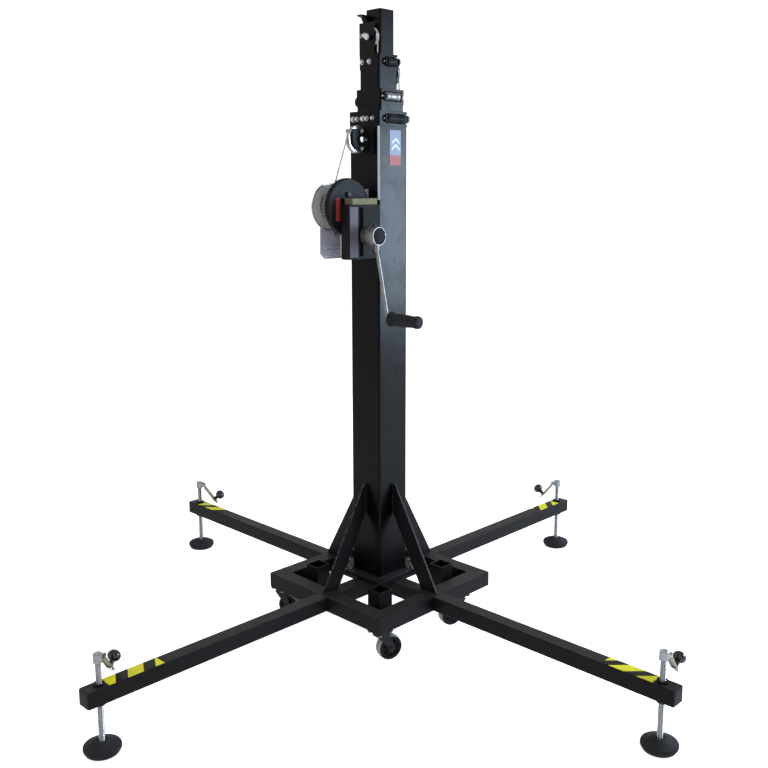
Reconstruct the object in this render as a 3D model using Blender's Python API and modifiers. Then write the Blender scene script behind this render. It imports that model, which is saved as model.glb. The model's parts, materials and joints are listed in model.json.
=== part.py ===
"""Crank lighting stand: a telescopic mast with a hand winch on a cross-shaped outrigger base.

Frame: metres, +Z up. The origin is on the floor under the mast axis. The outriggers lie along
-Y, +X, +Y and -X. The winch is on the mast's -Y face, and its crank turns about an axis along X.
"""

import math

import bmesh
import bpy
from mathutils import Matrix, Vector

# ------------------------------------------------------------------ driving dimensions, in metres
GAP = 0.0003  # clearance between touching pieces
JACK_REACH = 1.0  # mast axis to each jack screw
WALL = 0.003  # wall of every steel tube
MAST_CORNER = 0.006  # outer corner radius of the mast tubes
BEAM_CORNER = 0.003  # outer corner radius of the outrigger beams
CORNER_STEPS = 3

# Outrigger beams, which plug into the base frame with a reduced spigot
BEAM_WIDTH = 0.046
BEAM_HEIGHT = 0.045
BEAM_BOTTOM = 0.138
BEAM_OVERHANG = 0.0416
SPIGOT = 0.038
SPIGOT_LENGTH = 0.150
SLEEVE_PLAY = 0.0004

# Base frame
RING_HALF = 0.25
RING_TUBE = 0.050
RING_HEIGHT = 0.046
RING_BOTTOM = BEAM_BOTTOM - 0.001
RING_TOP = RING_BOTTOM + RING_HEIGHT
SLEEVE_WIDTH = 0.046
CORNER_PLATE = 0.005
SOCKET_OUTER = 0.052
SOCKET_WALL = 0.0026
SOCKET_CENTRE = 0.140
SOCKET_TOP = 0.212
FOOT_HALF = 0.086
FOOT_PLATE = 0.014
BRACE_THICKNESS = 0.006
BRACE_TOP = 0.494
BRACE_CONTACT = 0.089
BRACE_REACH = 0.232

# Telescopic tubes: half width, centre offset along Y, bottom and top height
MAST_BOTTOM = RING_TOP + FOOT_PLATE + 2 * GAP
TUBES = {
    "mast_outer": (0.0610, 0.0, MAST_BOTTOM, 1.631),
    "mast_section_2": (0.0500, 0.0075, 0.215, 1.695),
    "mast_section_3": (0.0400, 0.0010, 0.225, 1.795),
    "mast_section_4": (0.0300, 0.0075, 0.235, 1.919),
}
COLLAR_HEIGHT = 0.044
COLLAR_THICKNESS = 0.0015

# Guide rollers, one on the +X wall of each tube's head, running on the next tube
ROLLER_RADIUS = 0.0125
ROLLER_AXLE = 0.004
ROLLER_DROP = 0.022  # tube top to roller axis
EAR_THICKNESS = 0.004

# Cable pulleys
PULLEY_WIDTH = 0.009
PULLEY_DROP_IN = 0.047  # tube top to the pulley axis above it
TONGUE_RISE = 0.089
TONGUE_LEFT = -0.040
TONGUE_RIGHT = 0.020
CABLE_RADIUS = 0.0025
HEAD_PULLEY_RADIUS = 0.0400
HEAD_PULLEY_ROPE = 0.0388
HEAD_PULLEY_WIDTH = 0.016
HEAD_PULLEY_HEIGHT = 1.548
INNER_CABLE_Y = -0.0503
BOLT_RADIUS = 0.004

# Winch
DRUM_AXIS = (-0.155, 1.354)  # Y, Z
CRANK_AXIS = (-0.125, 1.272)
FRAME_LEFT = -0.060
FRAME_RIGHT = 0.018
FRAME_PLATE = 0.0035
FRAME_FRONT = -0.187
FRAME_BOTTOM = 1.200
FRAME_TOP = 1.405
DRUM_FLANGE_RADIUS = 0.0685
DRUM_WOUND_RADIUS = 0.0435
CABLE_LAY_RADIUS = 0.0465
GEAR_MODULE = 0.003
GEAR_TEETH = 48
PINION_TEETH = 10
GEAR_WIDTH = 0.009
COVER_RADIUS = 0.083
COVER_OUTER = 0.034
HOUSING_BACK = 0.0385
HOUSING_FACE = 0.072
HOUSING_FRONT = -0.193
HOUSING_LOW = 1.205
HOUSING_HIGH = 1.361
SHAFT_RADIUS = 0.008
HUB_RADIUS = 0.027
HUB_LENGTH = 0.054
CRANK_RADIUS = 0.235  # crank axis to grip axis
CRANK_ROD = 0.005
GRIP_LENGTH = 0.116
GRIP_RADIUS = 0.0185

# Jacks
PAD_RADIUS = 0.048
PAD_SOLE = 0.042
PAD_RIM = 0.020
PAD_TOP = 0.037
SCREW_RADIUS = 0.008
SCREW_FOOT = 0.0125
SCREW_TOP = 0.268
HEAD_RADIUS = 0.012
HEAD_HEIGHT = 0.025
PIVOT_REACH = 0.017
PIVOT_HEIGHT = 0.256
LEVER_LENGTH = 0.090
LEVER_WIDTH = 0.016
LEVER_THICKNESS = 0.004
KNOB_ALONG = 0.070
KNOB_STEM = 0.030
KNOB_RADIUS = 0.018

# Casters
WHEEL_RADIUS = 0.038
WHEEL_WIDTH = 0.030
WHEEL_AXLE_HEIGHT = 0.079
CASTER_TRAIL = 0.028
CASTER_PLATE = 0.004
FORK_PLATE = 0.003

# name: direction of the outrigger in degrees from +X, heading of its lever, lever slope below level
OUTRIGGERS = {
    "a": (-90, 123.0, 52),
    "b": (0, 90.0, 52),
    "c": (180, 36.0, 52),
    "d": (90, 188.0, 52),
}
# name: swivel axis X and Y, direction in which the wheel trails
CASTERS = {
    "a": (0.222, -0.222, 71.8),
    "b": (0.222, 0.130, -110.0),
    "c": (-0.222, -0.222, 20.0),
    "d": (-0.222, 0.130, 35.0),
}

BLACK = ("satin_black_paint", (0.018, 0.019, 0.022), 0.42, 0.0)
ZINC = ("bright_zinc", (0.62, 0.63, 0.65), 0.30, 1.0)
YELLOW_ZINC = ("yellow_zinc", (0.48, 0.43, 0.24), 0.38, 1.0)
RUBBER = ("black_rubber", (0.025, 0.025, 0.027), 0.75, 0.0)
PLASTIC = ("black_plastic", (0.022, 0.022, 0.024), 0.45, 0.0)
CAST_GREY = ("cast_grey", (0.20, 0.20, 0.21), 0.50, 0.6)
CABLE_STEEL = ("cable_steel", (0.50, 0.50, 0.48), 0.45, 0.9)


# ------------------------------------------------------------------------------- scene helpers
def clear_scene():
    for obj in list(bpy.data.objects):
        bpy.data.objects.remove(obj, do_unlink=True)


def new_collection(name):
    collection = bpy.data.collections.new(name)
    bpy.context.scene.collection.children.link(collection)
    return collection


def material_of(finish):
    name, colour, roughness, metallic = finish
    material = bpy.data.materials.get(name)
    if material is None:
        material = bpy.data.materials.new(name)
        material.use_nodes = True
        shader = material.node_tree.nodes["Principled BSDF"]
        shader.inputs["Base Color"].default_value = (*colour, 1.0)
        shader.inputs["Roughness"].default_value = roughness
        shader.inputs["Metallic"].default_value = metallic
        material.diffuse_color = (*colour, 1.0)
    return material


def object_of(name, mesh, collection):
    obj = bpy.data.objects.new(name, mesh)
    collection.objects.link(obj)
    return obj


def cutter_of(name, bm):
    """A helper object that other shapes are cut or joined with."""
    mesh = bpy.data.meshes.new(name)
    bm.to_mesh(mesh)
    bm.free()
    obj = object_of(name, mesh, CUTTERS)
    obj.hide_render = True
    obj.display_type = "WIRE"
    return obj


# ------------------------------------------------------------------------------ basic shapes
def box(low, high):
    """A box between two corners."""
    low, high = Vector(low), Vector(high)
    bm = bmesh.new()
    bmesh.ops.create_cube(bm, size=1.0)
    bmesh.ops.scale(bm, vec=high - low, verts=bm.verts)
    bmesh.ops.translate(bm, vec=(low + high) / 2, verts=bm.verts)
    return cutter_of("box", bm)


def square_tube_bar(half, y_centre, bottom, top, corner=0.0):
    """A square bar standing on Z, half wide each way, with round corners if a radius is given."""
    if not corner:
        return box((-half, y_centre - half, bottom), (half, y_centre + half, top))
    outline = rounded_square(half, corner)
    return shifted(plate(outline, top - bottom), y=y_centre, z=(bottom + top) / 2)


def rounded_square(half, corner):
    """Outline of a square with round corners."""
    inner = half - corner
    outline = []
    for sx, sy, start in ((1, 1, 0), (-1, 1, 90), (-1, -1, 180), (1, -1, 270)):
        outline += arc((sx * inner, sy * inner), corner, start, start + 90, CORNER_STEPS)
    return outline


def rod(start, end, radius, segments=16):
    """A cylinder between two points."""
    start, end = Vector(start), Vector(end)
    bm = bmesh.new()
    bmesh.ops.create_cone(
        bm,
        cap_ends=True,
        segments=segments,
        radius1=radius,
        radius2=radius,
        depth=(end - start).length,
    )
    turn = (end - start).to_track_quat("Z", "Y").to_matrix().to_4x4()
    bmesh.ops.transform(bm, matrix=Matrix.Translation((start + end) / 2) @ turn, verts=bm.verts)
    return cutter_of("rod", bm)


def turned(profile, steps=24, closed=False):
    """A shape turned about Z. The profile is (radius, height) pairs, down the outer side."""
    bm = bmesh.new()
    points = [bm.verts.new((radius, 0.0, height)) for radius, height in profile]
    for first, second in zip(points, points[1:]):
        bm.edges.new((first, second))
    if closed:
        bm.edges.new((points[-1], points[0]))
    obj = cutter_of("turned", bm)
    screw = obj.modifiers.new("turn", "SCREW")
    screw.steps = steps
    screw.render_steps = steps
    screw.use_merge_vertices = True
    screw.merge_threshold = 0.00005
    return baked(obj)


def plate(outline, thickness):
    """A flat outline in the XY plane, with its thickness centred on it."""
    curve = bpy.data.curves.new("plate", "CURVE")
    curve.dimensions = "2D"
    curve.fill_mode = "BOTH"
    curve.extrude = thickness / 2
    spline = curve.splines.new("POLY")
    spline.points.add(len(outline) - 1)
    for point, (x, y) in zip(spline.points, outline):
        point.co = (x, y, 0.0, 1.0)
    spline.use_cyclic_u = True
    return baked(object_of("plate", curve, CUTTERS))


def wire(points, radius, sides=2):
    """A round bar along a path of points."""
    curve = bpy.data.curves.new("wire", "CURVE")
    curve.dimensions = "3D"
    curve.bevel_depth = radius
    curve.bevel_resolution = sides
    curve.use_fill_caps = True
    spline = curve.splines.new("POLY")
    spline.points.add(len(points) - 1)
    for point, place in zip(spline.points, points):
        point.co = (*place, 1.0)
    return baked(object_of("wire", curve, CUTTERS))


def baked(obj):
    """The object with its modifiers or its curve made into a plain welded mesh."""
    graph = bpy.context.evaluated_depsgraph_get()
    mesh = bpy.data.meshes.new_from_object(obj.evaluated_get(graph), depsgraph=graph)
    bm = bmesh.new()
    bm.from_mesh(mesh)
    bm.transform(obj.matrix_world)
    bmesh.ops.remove_doubles(bm, verts=bm.verts, dist=0.000005)
    bmesh.ops.dissolve_limit(bm, angle_limit=0.0005, verts=bm.verts, edges=bm.edges)
    bmesh.ops.recalc_face_normals(bm, faces=bm.faces)
    bpy.data.meshes.remove(mesh)
    bpy.data.objects.remove(obj, do_unlink=True)
    return cutter_of("shape", bm)


def combined(obj, others, operation):
    for other in others:
        modifier = obj.modifiers.new(operation.lower(), "BOOLEAN")
        modifier.operation = operation
        modifier.solver = "EXACT"
        modifier.object = other
    result = baked(obj)
    for other in others:
        bpy.data.objects.remove(other, do_unlink=True)
    return result


def joined(obj, *others):
    return combined(obj, others, "UNION")


def cut(obj, *others):
    return combined(obj, others, "DIFFERENCE")


def moved(obj, matrix):
    obj.data.transform(matrix)
    return obj


def shifted(obj, x=0.0, y=0.0, z=0.0):
    return moved(obj, Matrix.Translation((x, y, z)))


def turned_about(obj, degrees, axis):
    return moved(obj, Matrix.Rotation(math.radians(degrees), 4, axis))


def along_x(obj):
    """Turns a shape made about Z so that its +Z runs along +X."""
    return moved(obj, Matrix.Rotation(math.radians(90), 4, "Y"))


def along_y(obj):
    """Turns a shape made about Z so that its +Z runs along +Y."""
    return moved(obj, Matrix.Rotation(math.radians(-90), 4, "X"))


def piece(name, shape, finish, origin=(0, 0, 0), heading=0.0, smooth=30, bevel=0.0):
    """Makes a shape into a named part, placed at its origin and turned about Z by its heading."""
    shape.name = name
    shape.data.name = name
    shape.hide_render = False
    shape.display_type = "TEXTURED"
    CUTTERS.objects.unlink(shape)
    PARTS.objects.link(shape)
    shape.data.materials.clear()
    shape.data.materials.append(material_of(finish))
    shape.location = origin
    shape.rotation_euler = (0.0, 0.0, math.radians(heading))
    if bevel:
        edge = shape.modifiers.new("edge", "BEVEL")
        edge.width = bevel
        edge.segments = 1
        edge.limit_method = "ANGLE"
    shape.data.shade_smooth()
    shape.data.set_sharp_from_angle(angle=math.radians(smooth))
    return shape


def copy_of(source, name, origin=(0, 0, 0), heading=0.0):
    """Another part that shares a part's mesh."""
    obj = object_of(name, source.data, PARTS)
    obj.location = origin
    obj.rotation_euler = (0.0, 0.0, math.radians(heading))
    return obj


def arc(centre, radius, start, end, steps):
    """Points on an arc in a plane, from one angle to another in degrees."""
    angles = [math.radians(start + (end - start) * i / steps) for i in range(steps + 1)]
    return [(centre[0] + radius * math.cos(a), centre[1] + radius * math.sin(a)) for a in angles]


# --------------------------------------------------------------------------------- base
def base_frame():
    """Hollow square ring with crossing sleeves, corner plates and four upright stowing sockets."""
    low, high = RING_BOTTOM, RING_TOP
    inner = RING_HALF - RING_TUBE
    ring = cut(
        box((-RING_HALF, -RING_HALF, low), (RING_HALF, RING_HALF, high)),
        box((-inner, -inner, low - 0.01), (inner, inner, high + 0.01)),
    )
    channel = cut(
        box(
            (-RING_HALF + WALL, -RING_HALF + WALL, low + WALL),
            (RING_HALF - WALL, RING_HALF - WALL, high - WALL),
        ),
        box((-inner - WALL, -inner - WALL, low), (inner + WALL, inner + WALL, high)),
    )
    ring = cut(ring, channel)
    half = SLEEVE_WIDTH / 2
    into_wall = inner + WALL / 2
    cross = joined(
        box((-into_wall, -half, low + 0.0002), (into_wall, half, high - 0.0002)),
        box((-half, -into_wall, low + 0.0002), (half, into_wall, high - 0.0002)),
    )
    ring = joined(ring, cross)
    for sx in (-1, 1):
        for sy in (-1, 1):
            ring = joined(ring, corner_plate_and_socket(sx, sy))
    bore = SPIGOT / 2 + SLEEVE_PLAY
    middle = BEAM_BOTTOM + BEAM_HEIGHT / 2
    reach = RING_HALF + 0.01
    ring = cut(
        ring,
        box((-reach, -bore, middle - bore), (reach, bore, middle + bore)),
        box((-bore, -reach, middle - bore), (bore, reach, middle + bore)),
    )
    for sx in (-1, 1):
        for sy in (-1, 1):
            ring = cut(ring, socket_bore(sx, sy))
    return piece("base_frame", ring, BLACK)


def square_at(sx, sy, start, end, low, high):
    """A box over the same range of X and Y in one of the four quadrants."""
    xs, ys = sorted((sx * start, sx * end)), sorted((sy * start, sy * end))
    return box((xs[0], ys[0], low), (xs[1], ys[1], high))


def corner_plate_and_socket(sx, sy):
    inner = RING_HALF - RING_TUBE
    sheet_start = SOCKET_CENTRE - SOCKET_OUTER / 2 - 0.008
    sheet = square_at(
        sx, sy, sheet_start, inner + WALL / 2, RING_BOTTOM + 0.0005, RING_BOTTOM + CORNER_PLATE
    )
    half = SOCKET_OUTER / 2
    start, end = SOCKET_CENTRE - half, SOCKET_CENTRE + half
    socket = square_at(sx, sy, start, end, RING_BOTTOM + 0.001, SOCKET_TOP)
    return joined(sheet, socket)


def socket_bore(sx, sy):
    half = SOCKET_OUTER / 2 - SOCKET_WALL
    start, end = SOCKET_CENTRE - half, SOCKET_CENTRE + half
    return square_at(sx, sy, start, end, RING_BOTTOM + CORNER_PLATE, SOCKET_TOP + 0.01)


def foot_plate():
    low = RING_TOP + GAP
    sheet = box((-FOOT_HALF, -FOOT_HALF, low), (FOOT_HALF, FOOT_HALF, low + FOOT_PLATE))
    return piece("foot_plate", sheet, BLACK, bevel=0.001)


def braces():
    """Four sloping flat bars from the mast's faces down to the ring."""
    face = TUBES["mast_outer"][0] + GAP
    slope = (BRACE_REACH - face) / (BRACE_TOP - RING_TOP)
    inner_foot = face + slope * (BRACE_TOP - BRACE_CONTACT - RING_TOP)
    foot = RING_TOP + GAP
    outline = [
        (face, BRACE_TOP),
        (face, BRACE_TOP - BRACE_CONTACT),
        (inner_foot, foot),
        (BRACE_REACH + 0.012, foot),
        (BRACE_REACH + 0.012, foot + 0.008),
        (face + 0.010, BRACE_TOP),
    ]
    shape = plate(outline, BRACE_THICKNESS)
    shape = moved(shape, Matrix.Rotation(math.radians(90), 4, "X"))
    first = piece("brace_b", shape, BLACK)
    for name in "acd":
        copy_of(first, f"brace_{name}", heading=OUTRIGGERS[name][0])


# ------------------------------------------------------------------------------- casters
def casters():
    plate_shape = caster_plate_shape()
    fork_shape = caster_fork_shape()
    wheel_shape = caster_wheel_shape()
    first = {}
    for name, (x, y, trail) in CASTERS.items():
        angle = math.radians(trail)
        axle = (
            x + CASTER_TRAIL * math.cos(angle),
            y + CASTER_TRAIL * math.sin(angle),
            WHEEL_AXLE_HEIGHT,
        )
        places = (
            ("caster_plate", plate_shape, BLACK, (x, y, 0), 0.0),
            ("caster_fork", fork_shape, BLACK, (x, y, 0), trail),
            ("caster_wheel", wheel_shape, PLASTIC, axle, trail),
        )
        for kind, shape, finish, origin, heading in places:
            if kind in first:
                copy_of(first[kind], f"{kind}_{name}", origin, heading)
            else:
                first[kind] = piece(f"{kind}_{name}", shape, finish, origin, heading)


def caster_plate_shape():
    top = RING_BOTTOM - GAP
    half = 0.027
    return joined(
        box((-half, -half, top - CASTER_PLATE), (half, half, top)),
        rod((0, 0, top - CASTER_PLATE - 0.002), (0, 0, top - 0.001), 0.021),
    )


def caster_fork_shape():
    """Swivel head, bridge, two legs and the wheel's axle, trailing along +X."""
    top = RING_BOTTOM - GAP - CASTER_PLATE - 0.002 - GAP
    bridge = top - 0.005
    leg = WHEEL_WIDTH / 2 + 0.0015
    head = joined(
        rod((0, 0, bridge - FORK_PLATE), (0, 0, top), 0.0225),
        box(
            (-0.018, -leg - FORK_PLATE, bridge - FORK_PLATE),
            (0.022, leg + FORK_PLATE, bridge - 0.0002),
        ),
    )
    outline = [(-0.018, bridge - 0.001), (0.022, bridge - 0.001)]
    outline += arc((CASTER_TRAIL, WHEEL_AXLE_HEIGHT), 0.011, 20, -200, 5)
    for side in (-1, 1):
        shape = plate(outline, FORK_PLATE)
        shape = moved(shape, Matrix.Rotation(math.radians(90), 4, "X"))
        head = joined(head, shifted(shape, y=side * (leg + FORK_PLATE / 2)))
    reach = leg + FORK_PLATE + 0.004
    axle = rod(
        (CASTER_TRAIL, -reach, WHEEL_AXLE_HEIGHT), (CASTER_TRAIL, reach, WHEEL_AXLE_HEIGHT), 0.004
    )
    return joined(head, axle)


def caster_wheel_shape():
    """Wheel with a rounded tread and a recessed disc, turned about Y."""
    half = WHEEL_WIDTH / 2
    rim = WHEEL_RADIUS
    profile = [
        (0.0046, half),
        (0.012, half),
        (rim - 0.009, half - 0.003),
        (rim - 0.003, half - 0.002),
        (rim, half - 0.008),
    ]
    profile += [(radius, -height) for radius, height in reversed(profile)]
    return along_y(turned(profile, steps=24, closed=True))


# ------------------------------------------------------------------------------ outriggers
def outriggers():
    """Beam, jack pad, jack screw, crank lever and knob of each outrigger."""
    beam = beam_shape()
    pad = pad_shape()
    screw = screw_shape()
    first = {}
    for name, (direction, lever_heading, slope) in OUTRIGGERS.items():
        angle = math.radians(direction)
        jack = (JACK_REACH * math.cos(angle), JACK_REACH * math.sin(angle), 0.0)
        heading = math.radians(lever_heading)
        pivot = (
            jack[0] + PIVOT_REACH * math.cos(heading),
            jack[1] + PIVOT_REACH * math.sin(heading),
            PIVOT_HEIGHT,
        )
        places = (
            ("outrigger_beam", beam, BLACK, (0, 0, 0), direction),
            ("jack_pad", pad, RUBBER, jack, 0.0),
            ("jack_screw", screw, ZINC, jack, lever_heading),
        )
        for kind, shape, finish, origin, turn in places:
            if kind in first:
                copy_of(first[kind], f"{kind}_{name}", origin, turn)
            else:
                first[kind] = piece(f"{kind}_{name}", shape, finish, origin, turn)
        piece(f"jack_lever_{name}", lever_shape(slope), YELLOW_ZINC, pivot, lever_heading)
        piece(f"lever_knob_{name}", knob_shape(slope), PLASTIC, pivot, lever_heading)


def beam_shape():
    """Square tube along +X with a plug-in spigot at the mast's end and a jack nut near its tip."""
    start = RING_HALF + GAP
    end = JACK_REACH + BEAM_OVERHANG
    half = BEAM_WIDTH / 2
    low, high = BEAM_BOTTOM, BEAM_BOTTOM + BEAM_HEIGHT
    middle = (low + high) / 2
    spigot = SPIGOT / 2
    bore = spigot - WALL
    beam = joined(
        shifted(lying_bar(half, BEAM_CORNER, end - start), x=(start + end) / 2, z=middle),
        box((start - SPIGOT_LENGTH, -spigot, middle - spigot), (start + 0.001, spigot, middle + spigot)),
    )
    beam = cut(
        beam,
        box((start + 2 * WALL, -half + WALL, low + WALL), (end + 0.01, half - WALL, high - WALL)),
        box((start - SPIGOT_LENGTH - 0.01, -bore, middle - bore), (start + 0.02, bore, middle + bore)),
    )
    nut = rod((JACK_REACH, 0, low - 0.007), (JACK_REACH, 0, high + 0.006), 0.0150)
    beam = joined(beam, nut)
    hole = rod((JACK_REACH, 0, low - 0.02), (JACK_REACH, 0, high + 0.02), SCREW_RADIUS + 0.0005)
    return cut(beam, hole)


def lying_bar(half, corner, length):
    """A rounded bar along X, half wide along Y and as tall as a beam."""
    bar = plate(rounded_square(half, corner), length)
    turn = Matrix(((0, 0, 1, 0), (1, 0, 0, 0), (0, BEAM_HEIGHT / BEAM_WIDTH, 0, 0), (0, 0, 0, 1)))
    return moved(bar, turn)


def pad_shape():
    """Round rubber foot with a socket for the screw's end."""
    socket = SCREW_RADIUS + 0.0005
    profile = [
        (0.0, SCREW_FOOT - GAP),
        (socket, SCREW_FOOT - GAP),
        (socket, PAD_TOP),
        (0.018, PAD_TOP - 0.001),
        (0.040, PAD_RIM + 0.004),
        (PAD_RADIUS, PAD_RIM - 0.001),
        (PAD_RADIUS, PAD_RIM - 0.008),
        (PAD_SOLE, 0.0),
        (0.0, 0.0),
    ]
    return turned(profile, steps=28)


def screw_shape():
    """Jack screw with a head whose two ears hold the lever's pin, towards +X."""
    body = joined(
        rod((0, 0, SCREW_FOOT), (0, 0, SCREW_TOP - 0.001), SCREW_RADIUS),
        rod((0, 0, SCREW_TOP - HEAD_HEIGHT), (0, 0, SCREW_TOP), HEAD_RADIUS),
    )
    inner = LEVER_WIDTH / 2 + 0.0004
    outer = HEAD_RADIUS - 0.0002
    outline = [(0.004, PIVOT_HEIGHT - 0.007)]
    outline += arc((PIVOT_REACH, PIVOT_HEIGHT), 0.0055, -90, 90, 6)
    outline += [(0.004, PIVOT_HEIGHT + 0.007)]
    for side in (-1, 1):
        shape = plate(outline, outer - inner)
        shape = moved(shape, Matrix.Rotation(math.radians(90), 4, "X"))
        body = joined(body, shifted(shape, y=side * (inner + outer) / 2))
    pocket = box(
        (0.0095, -inner, PIVOT_HEIGHT - 0.02), (0.03, inner, PIVOT_HEIGHT + 0.02)
    )
    body = cut(body, pocket)
    pin = rod(
        (PIVOT_REACH, -outer - 0.0015, PIVOT_HEIGHT),
        (PIVOT_REACH, outer + 0.0015, PIVOT_HEIGHT),
        0.0022,
        segments=12,
    )
    return joined(body, pin)


def lever_shape(slope):
    """Flat folding lever with a pivot eye, sloping down from its pin along +X."""
    half = LEVER_WIDTH / 2
    eye = rod((0, -half, 0), (0, half, 0), 0.0050, segments=20)
    half_thickness = LEVER_THICKNESS / 2
    bar = box((0.001, -half, -half_thickness), (LEVER_LENGTH, half, half_thickness))
    hole = rod((0, -half - 0.01, 0), (0, half + 0.01, 0), 0.0027, segments=12)
    shape = cut(joined(eye, bar), hole)
    return turned_about(shape, slope, "Y")


def knob_shape(slope):
    """Ball knob that stands on the lever's upper face, with its short stem."""
    base = LEVER_THICKNESS / 2 + GAP
    centre = KNOB_STEM
    height = KNOB_RADIUS * 0.86
    profile = [(0.0, centre + height)]
    for i in range(1, 6):
        angle = math.radians(90 - 30 * i)
        profile.append((KNOB_RADIUS * math.cos(angle), centre + height * math.sin(angle)))
    profile += [(0.0052, base), (0.0, base)]
    shape = turned(profile, steps=18)
    shape = shifted(shape, x=KNOB_ALONG)
    return turned_about(shape, slope, "Y")


# -------------------------------------------------------------------------------- mast
def hollow_tube(name):
    half, y_centre, bottom, top = TUBES[name]
    return cut(
        joined(
            square_tube_bar(half, y_centre, bottom, top, MAST_CORNER),
            square_tube_bar(
                half + COLLAR_THICKNESS, y_centre, top - COLLAR_HEIGHT, top - 0.0005, MAST_CORNER
            ),
        ),
        square_tube_bar(half - WALL, y_centre, bottom - 0.01, top + 0.01, MAST_CORNER - WALL),
    )


def roller_place(name, inner_name):
    """The guide roller's axis: X, centre Y and Z. It runs on the inner tube's +X face."""
    top = TUBES[name][3]
    inner_half, inner_y = TUBES[inner_name][:2]
    return inner_half + GAP + ROLLER_RADIUS, inner_y, top - ROLLER_DROP


def with_roller_seat(tube, name, inner_name):
    """Cuts windows for the guide roller and its end wheel, and adds two ears for the axle."""
    half = TUBES[name][0]
    x, y, z = roller_place(name, inner_name)
    window = ear_gap(name) - 0.0015
    wheel = y + ear_gap(name) + EAR_THICKNESS
    tube = cut(
        tube,
        box((half - 0.01, y - window, z - 0.0145), (half + 0.02, y + window, z + 0.0145)),
        box((half - 0.011, wheel, z - 0.0145), (half + 0.02, wheel + 0.0105, z + 0.0145)),
    )
    for side in (-1, 1):
        near = y + side * ear_gap(name)
        far = near + side * EAR_THICKNESS
        ys = sorted((near, far))
        tube = joined(tube, box((half - 0.001, ys[0], z - 0.009), (x + 0.0075, ys[1], z + 0.009)))
        hole = rod((x, ys[0] - 0.01, z), (x, ys[1] + 0.01, z), ROLLER_AXLE + 0.0004, segments=16)
        tube = cut(tube, hole)
    return tube


def ear_gap(name):
    """Half the distance between a roller's two ears."""
    return TUBES[name][0] - 0.019


def guide_roller(name, node, inner_name, finish):
    """Roller turned about Y, with its axle through both ears and a wheel at its +Y end."""
    x, y, z = roller_place(name, inner_name)
    half = ear_gap(name) - 0.0025
    ear_end = ear_gap(name) + EAR_THICKNESS
    axle = ROLLER_AXLE
    profile = [
        (0.0, ear_end + 0.0085),
        (0.0085, ear_end + 0.0085),
        (0.0120, ear_end + 0.0065),
        (0.0120, ear_end + 0.0010),
        (axle, ear_end + 0.0010),
        (axle, half),
        (ROLLER_RADIUS, half),
        (ROLLER_RADIUS, -half),
        (axle, -half),
        (axle, -ear_end - 0.0040),
        (0.0, -ear_end - 0.0040),
    ]
    piece(node, along_y(turned(profile, steps=20)), finish, (x, y, z))


def mast_outer():
    tube = with_roller_seat(hollow_tube("mast_outer"), "mast_outer", "mast_section_2")
    half = TUBES["mast_outer"][0]
    slot = HEAD_PULLEY_WIDTH / 2 + 0.003
    window = box(
        (-slot, -half - 0.01, HEAD_PULLEY_HEIGHT - 0.036),
        (slot, -half + 0.01, HEAD_PULLEY_HEIGHT + 0.036),
    )
    piece("mast_outer", cut(tube, window), BLACK)


def tongue_and_pin(name, side, centre_x):
    """Upright tongue on a tube's head, on its wall towards side times Y, with the pulley's pin."""
    half, y_centre, _, top = TUBES[name]
    outer = y_centre + side * half
    inner = outer - side * WALL
    ys = sorted((outer, inner))
    tongue = box((TONGUE_LEFT, ys[0], top - 0.001), (TONGUE_RIGHT, ys[1], top + TONGUE_RISE))
    height = top + PULLEY_DROP_IN
    head = rod(
        (centre_x, outer + side * 0.008, height), (centre_x, outer - side * 0.001, height), 0.0075, 6
    )
    end = inner - side * (0.0025 + PULLEY_WIDTH + 0.0008)
    pin = rod((centre_x, outer, height), (centre_x, end, height), BOLT_RADIUS, segments=16)
    return joined(tongue, head, pin)


def small_pulley(node, name, side, centre_x, radius):
    """Cable pulley with a groove, turned about Y, on a tongue's pin."""
    half, y_centre, _, top = TUBES[name]
    middle = y_centre + side * (half - WALL - 0.0025 - PULLEY_WIDTH / 2)
    width = PULLEY_WIDTH / 2
    profile = [
        (BOLT_RADIUS + 0.0005, width),
        (radius, width),
        (radius - 0.006, 0.0018),
        (radius - 0.006, -0.0018),
        (radius, -width),
        (BOLT_RADIUS + 0.0005, -width),
    ]
    shape = along_y(turned(profile, steps=24, closed=True))
    piece(node, shape, ZINC, (centre_x, middle, top + PULLEY_DROP_IN))


def mast_section_2():
    tube = with_roller_seat(hollow_tube("mast_section_2"), "mast_section_2", "mast_section_3")
    tube = joined(tube, tongue_and_pin("mast_section_2", 1, 0.006))
    half, y_centre, bottom, _ = TUBES["mast_section_2"]
    face = y_centre - half
    lug = box((-0.012, face - 0.0125, bottom), (0.012, face + 0.001, bottom + 0.020))
    piece("mast_section_2", joined(tube, lug), BLACK)
    small_pulley("pulley_section_2", "mast_section_2", 1, 0.006, 0.036)


def mast_section_3():
    tube = with_roller_seat(hollow_tube("mast_section_3"), "mast_section_3", "mast_section_4")
    piece("mast_section_3", joined(tube, tongue_and_pin("mast_section_3", -1, 0.0)), BLACK)
    small_pulley("pulley_section_3", "mast_section_3", -1, 0.0, 0.0285)


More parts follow.
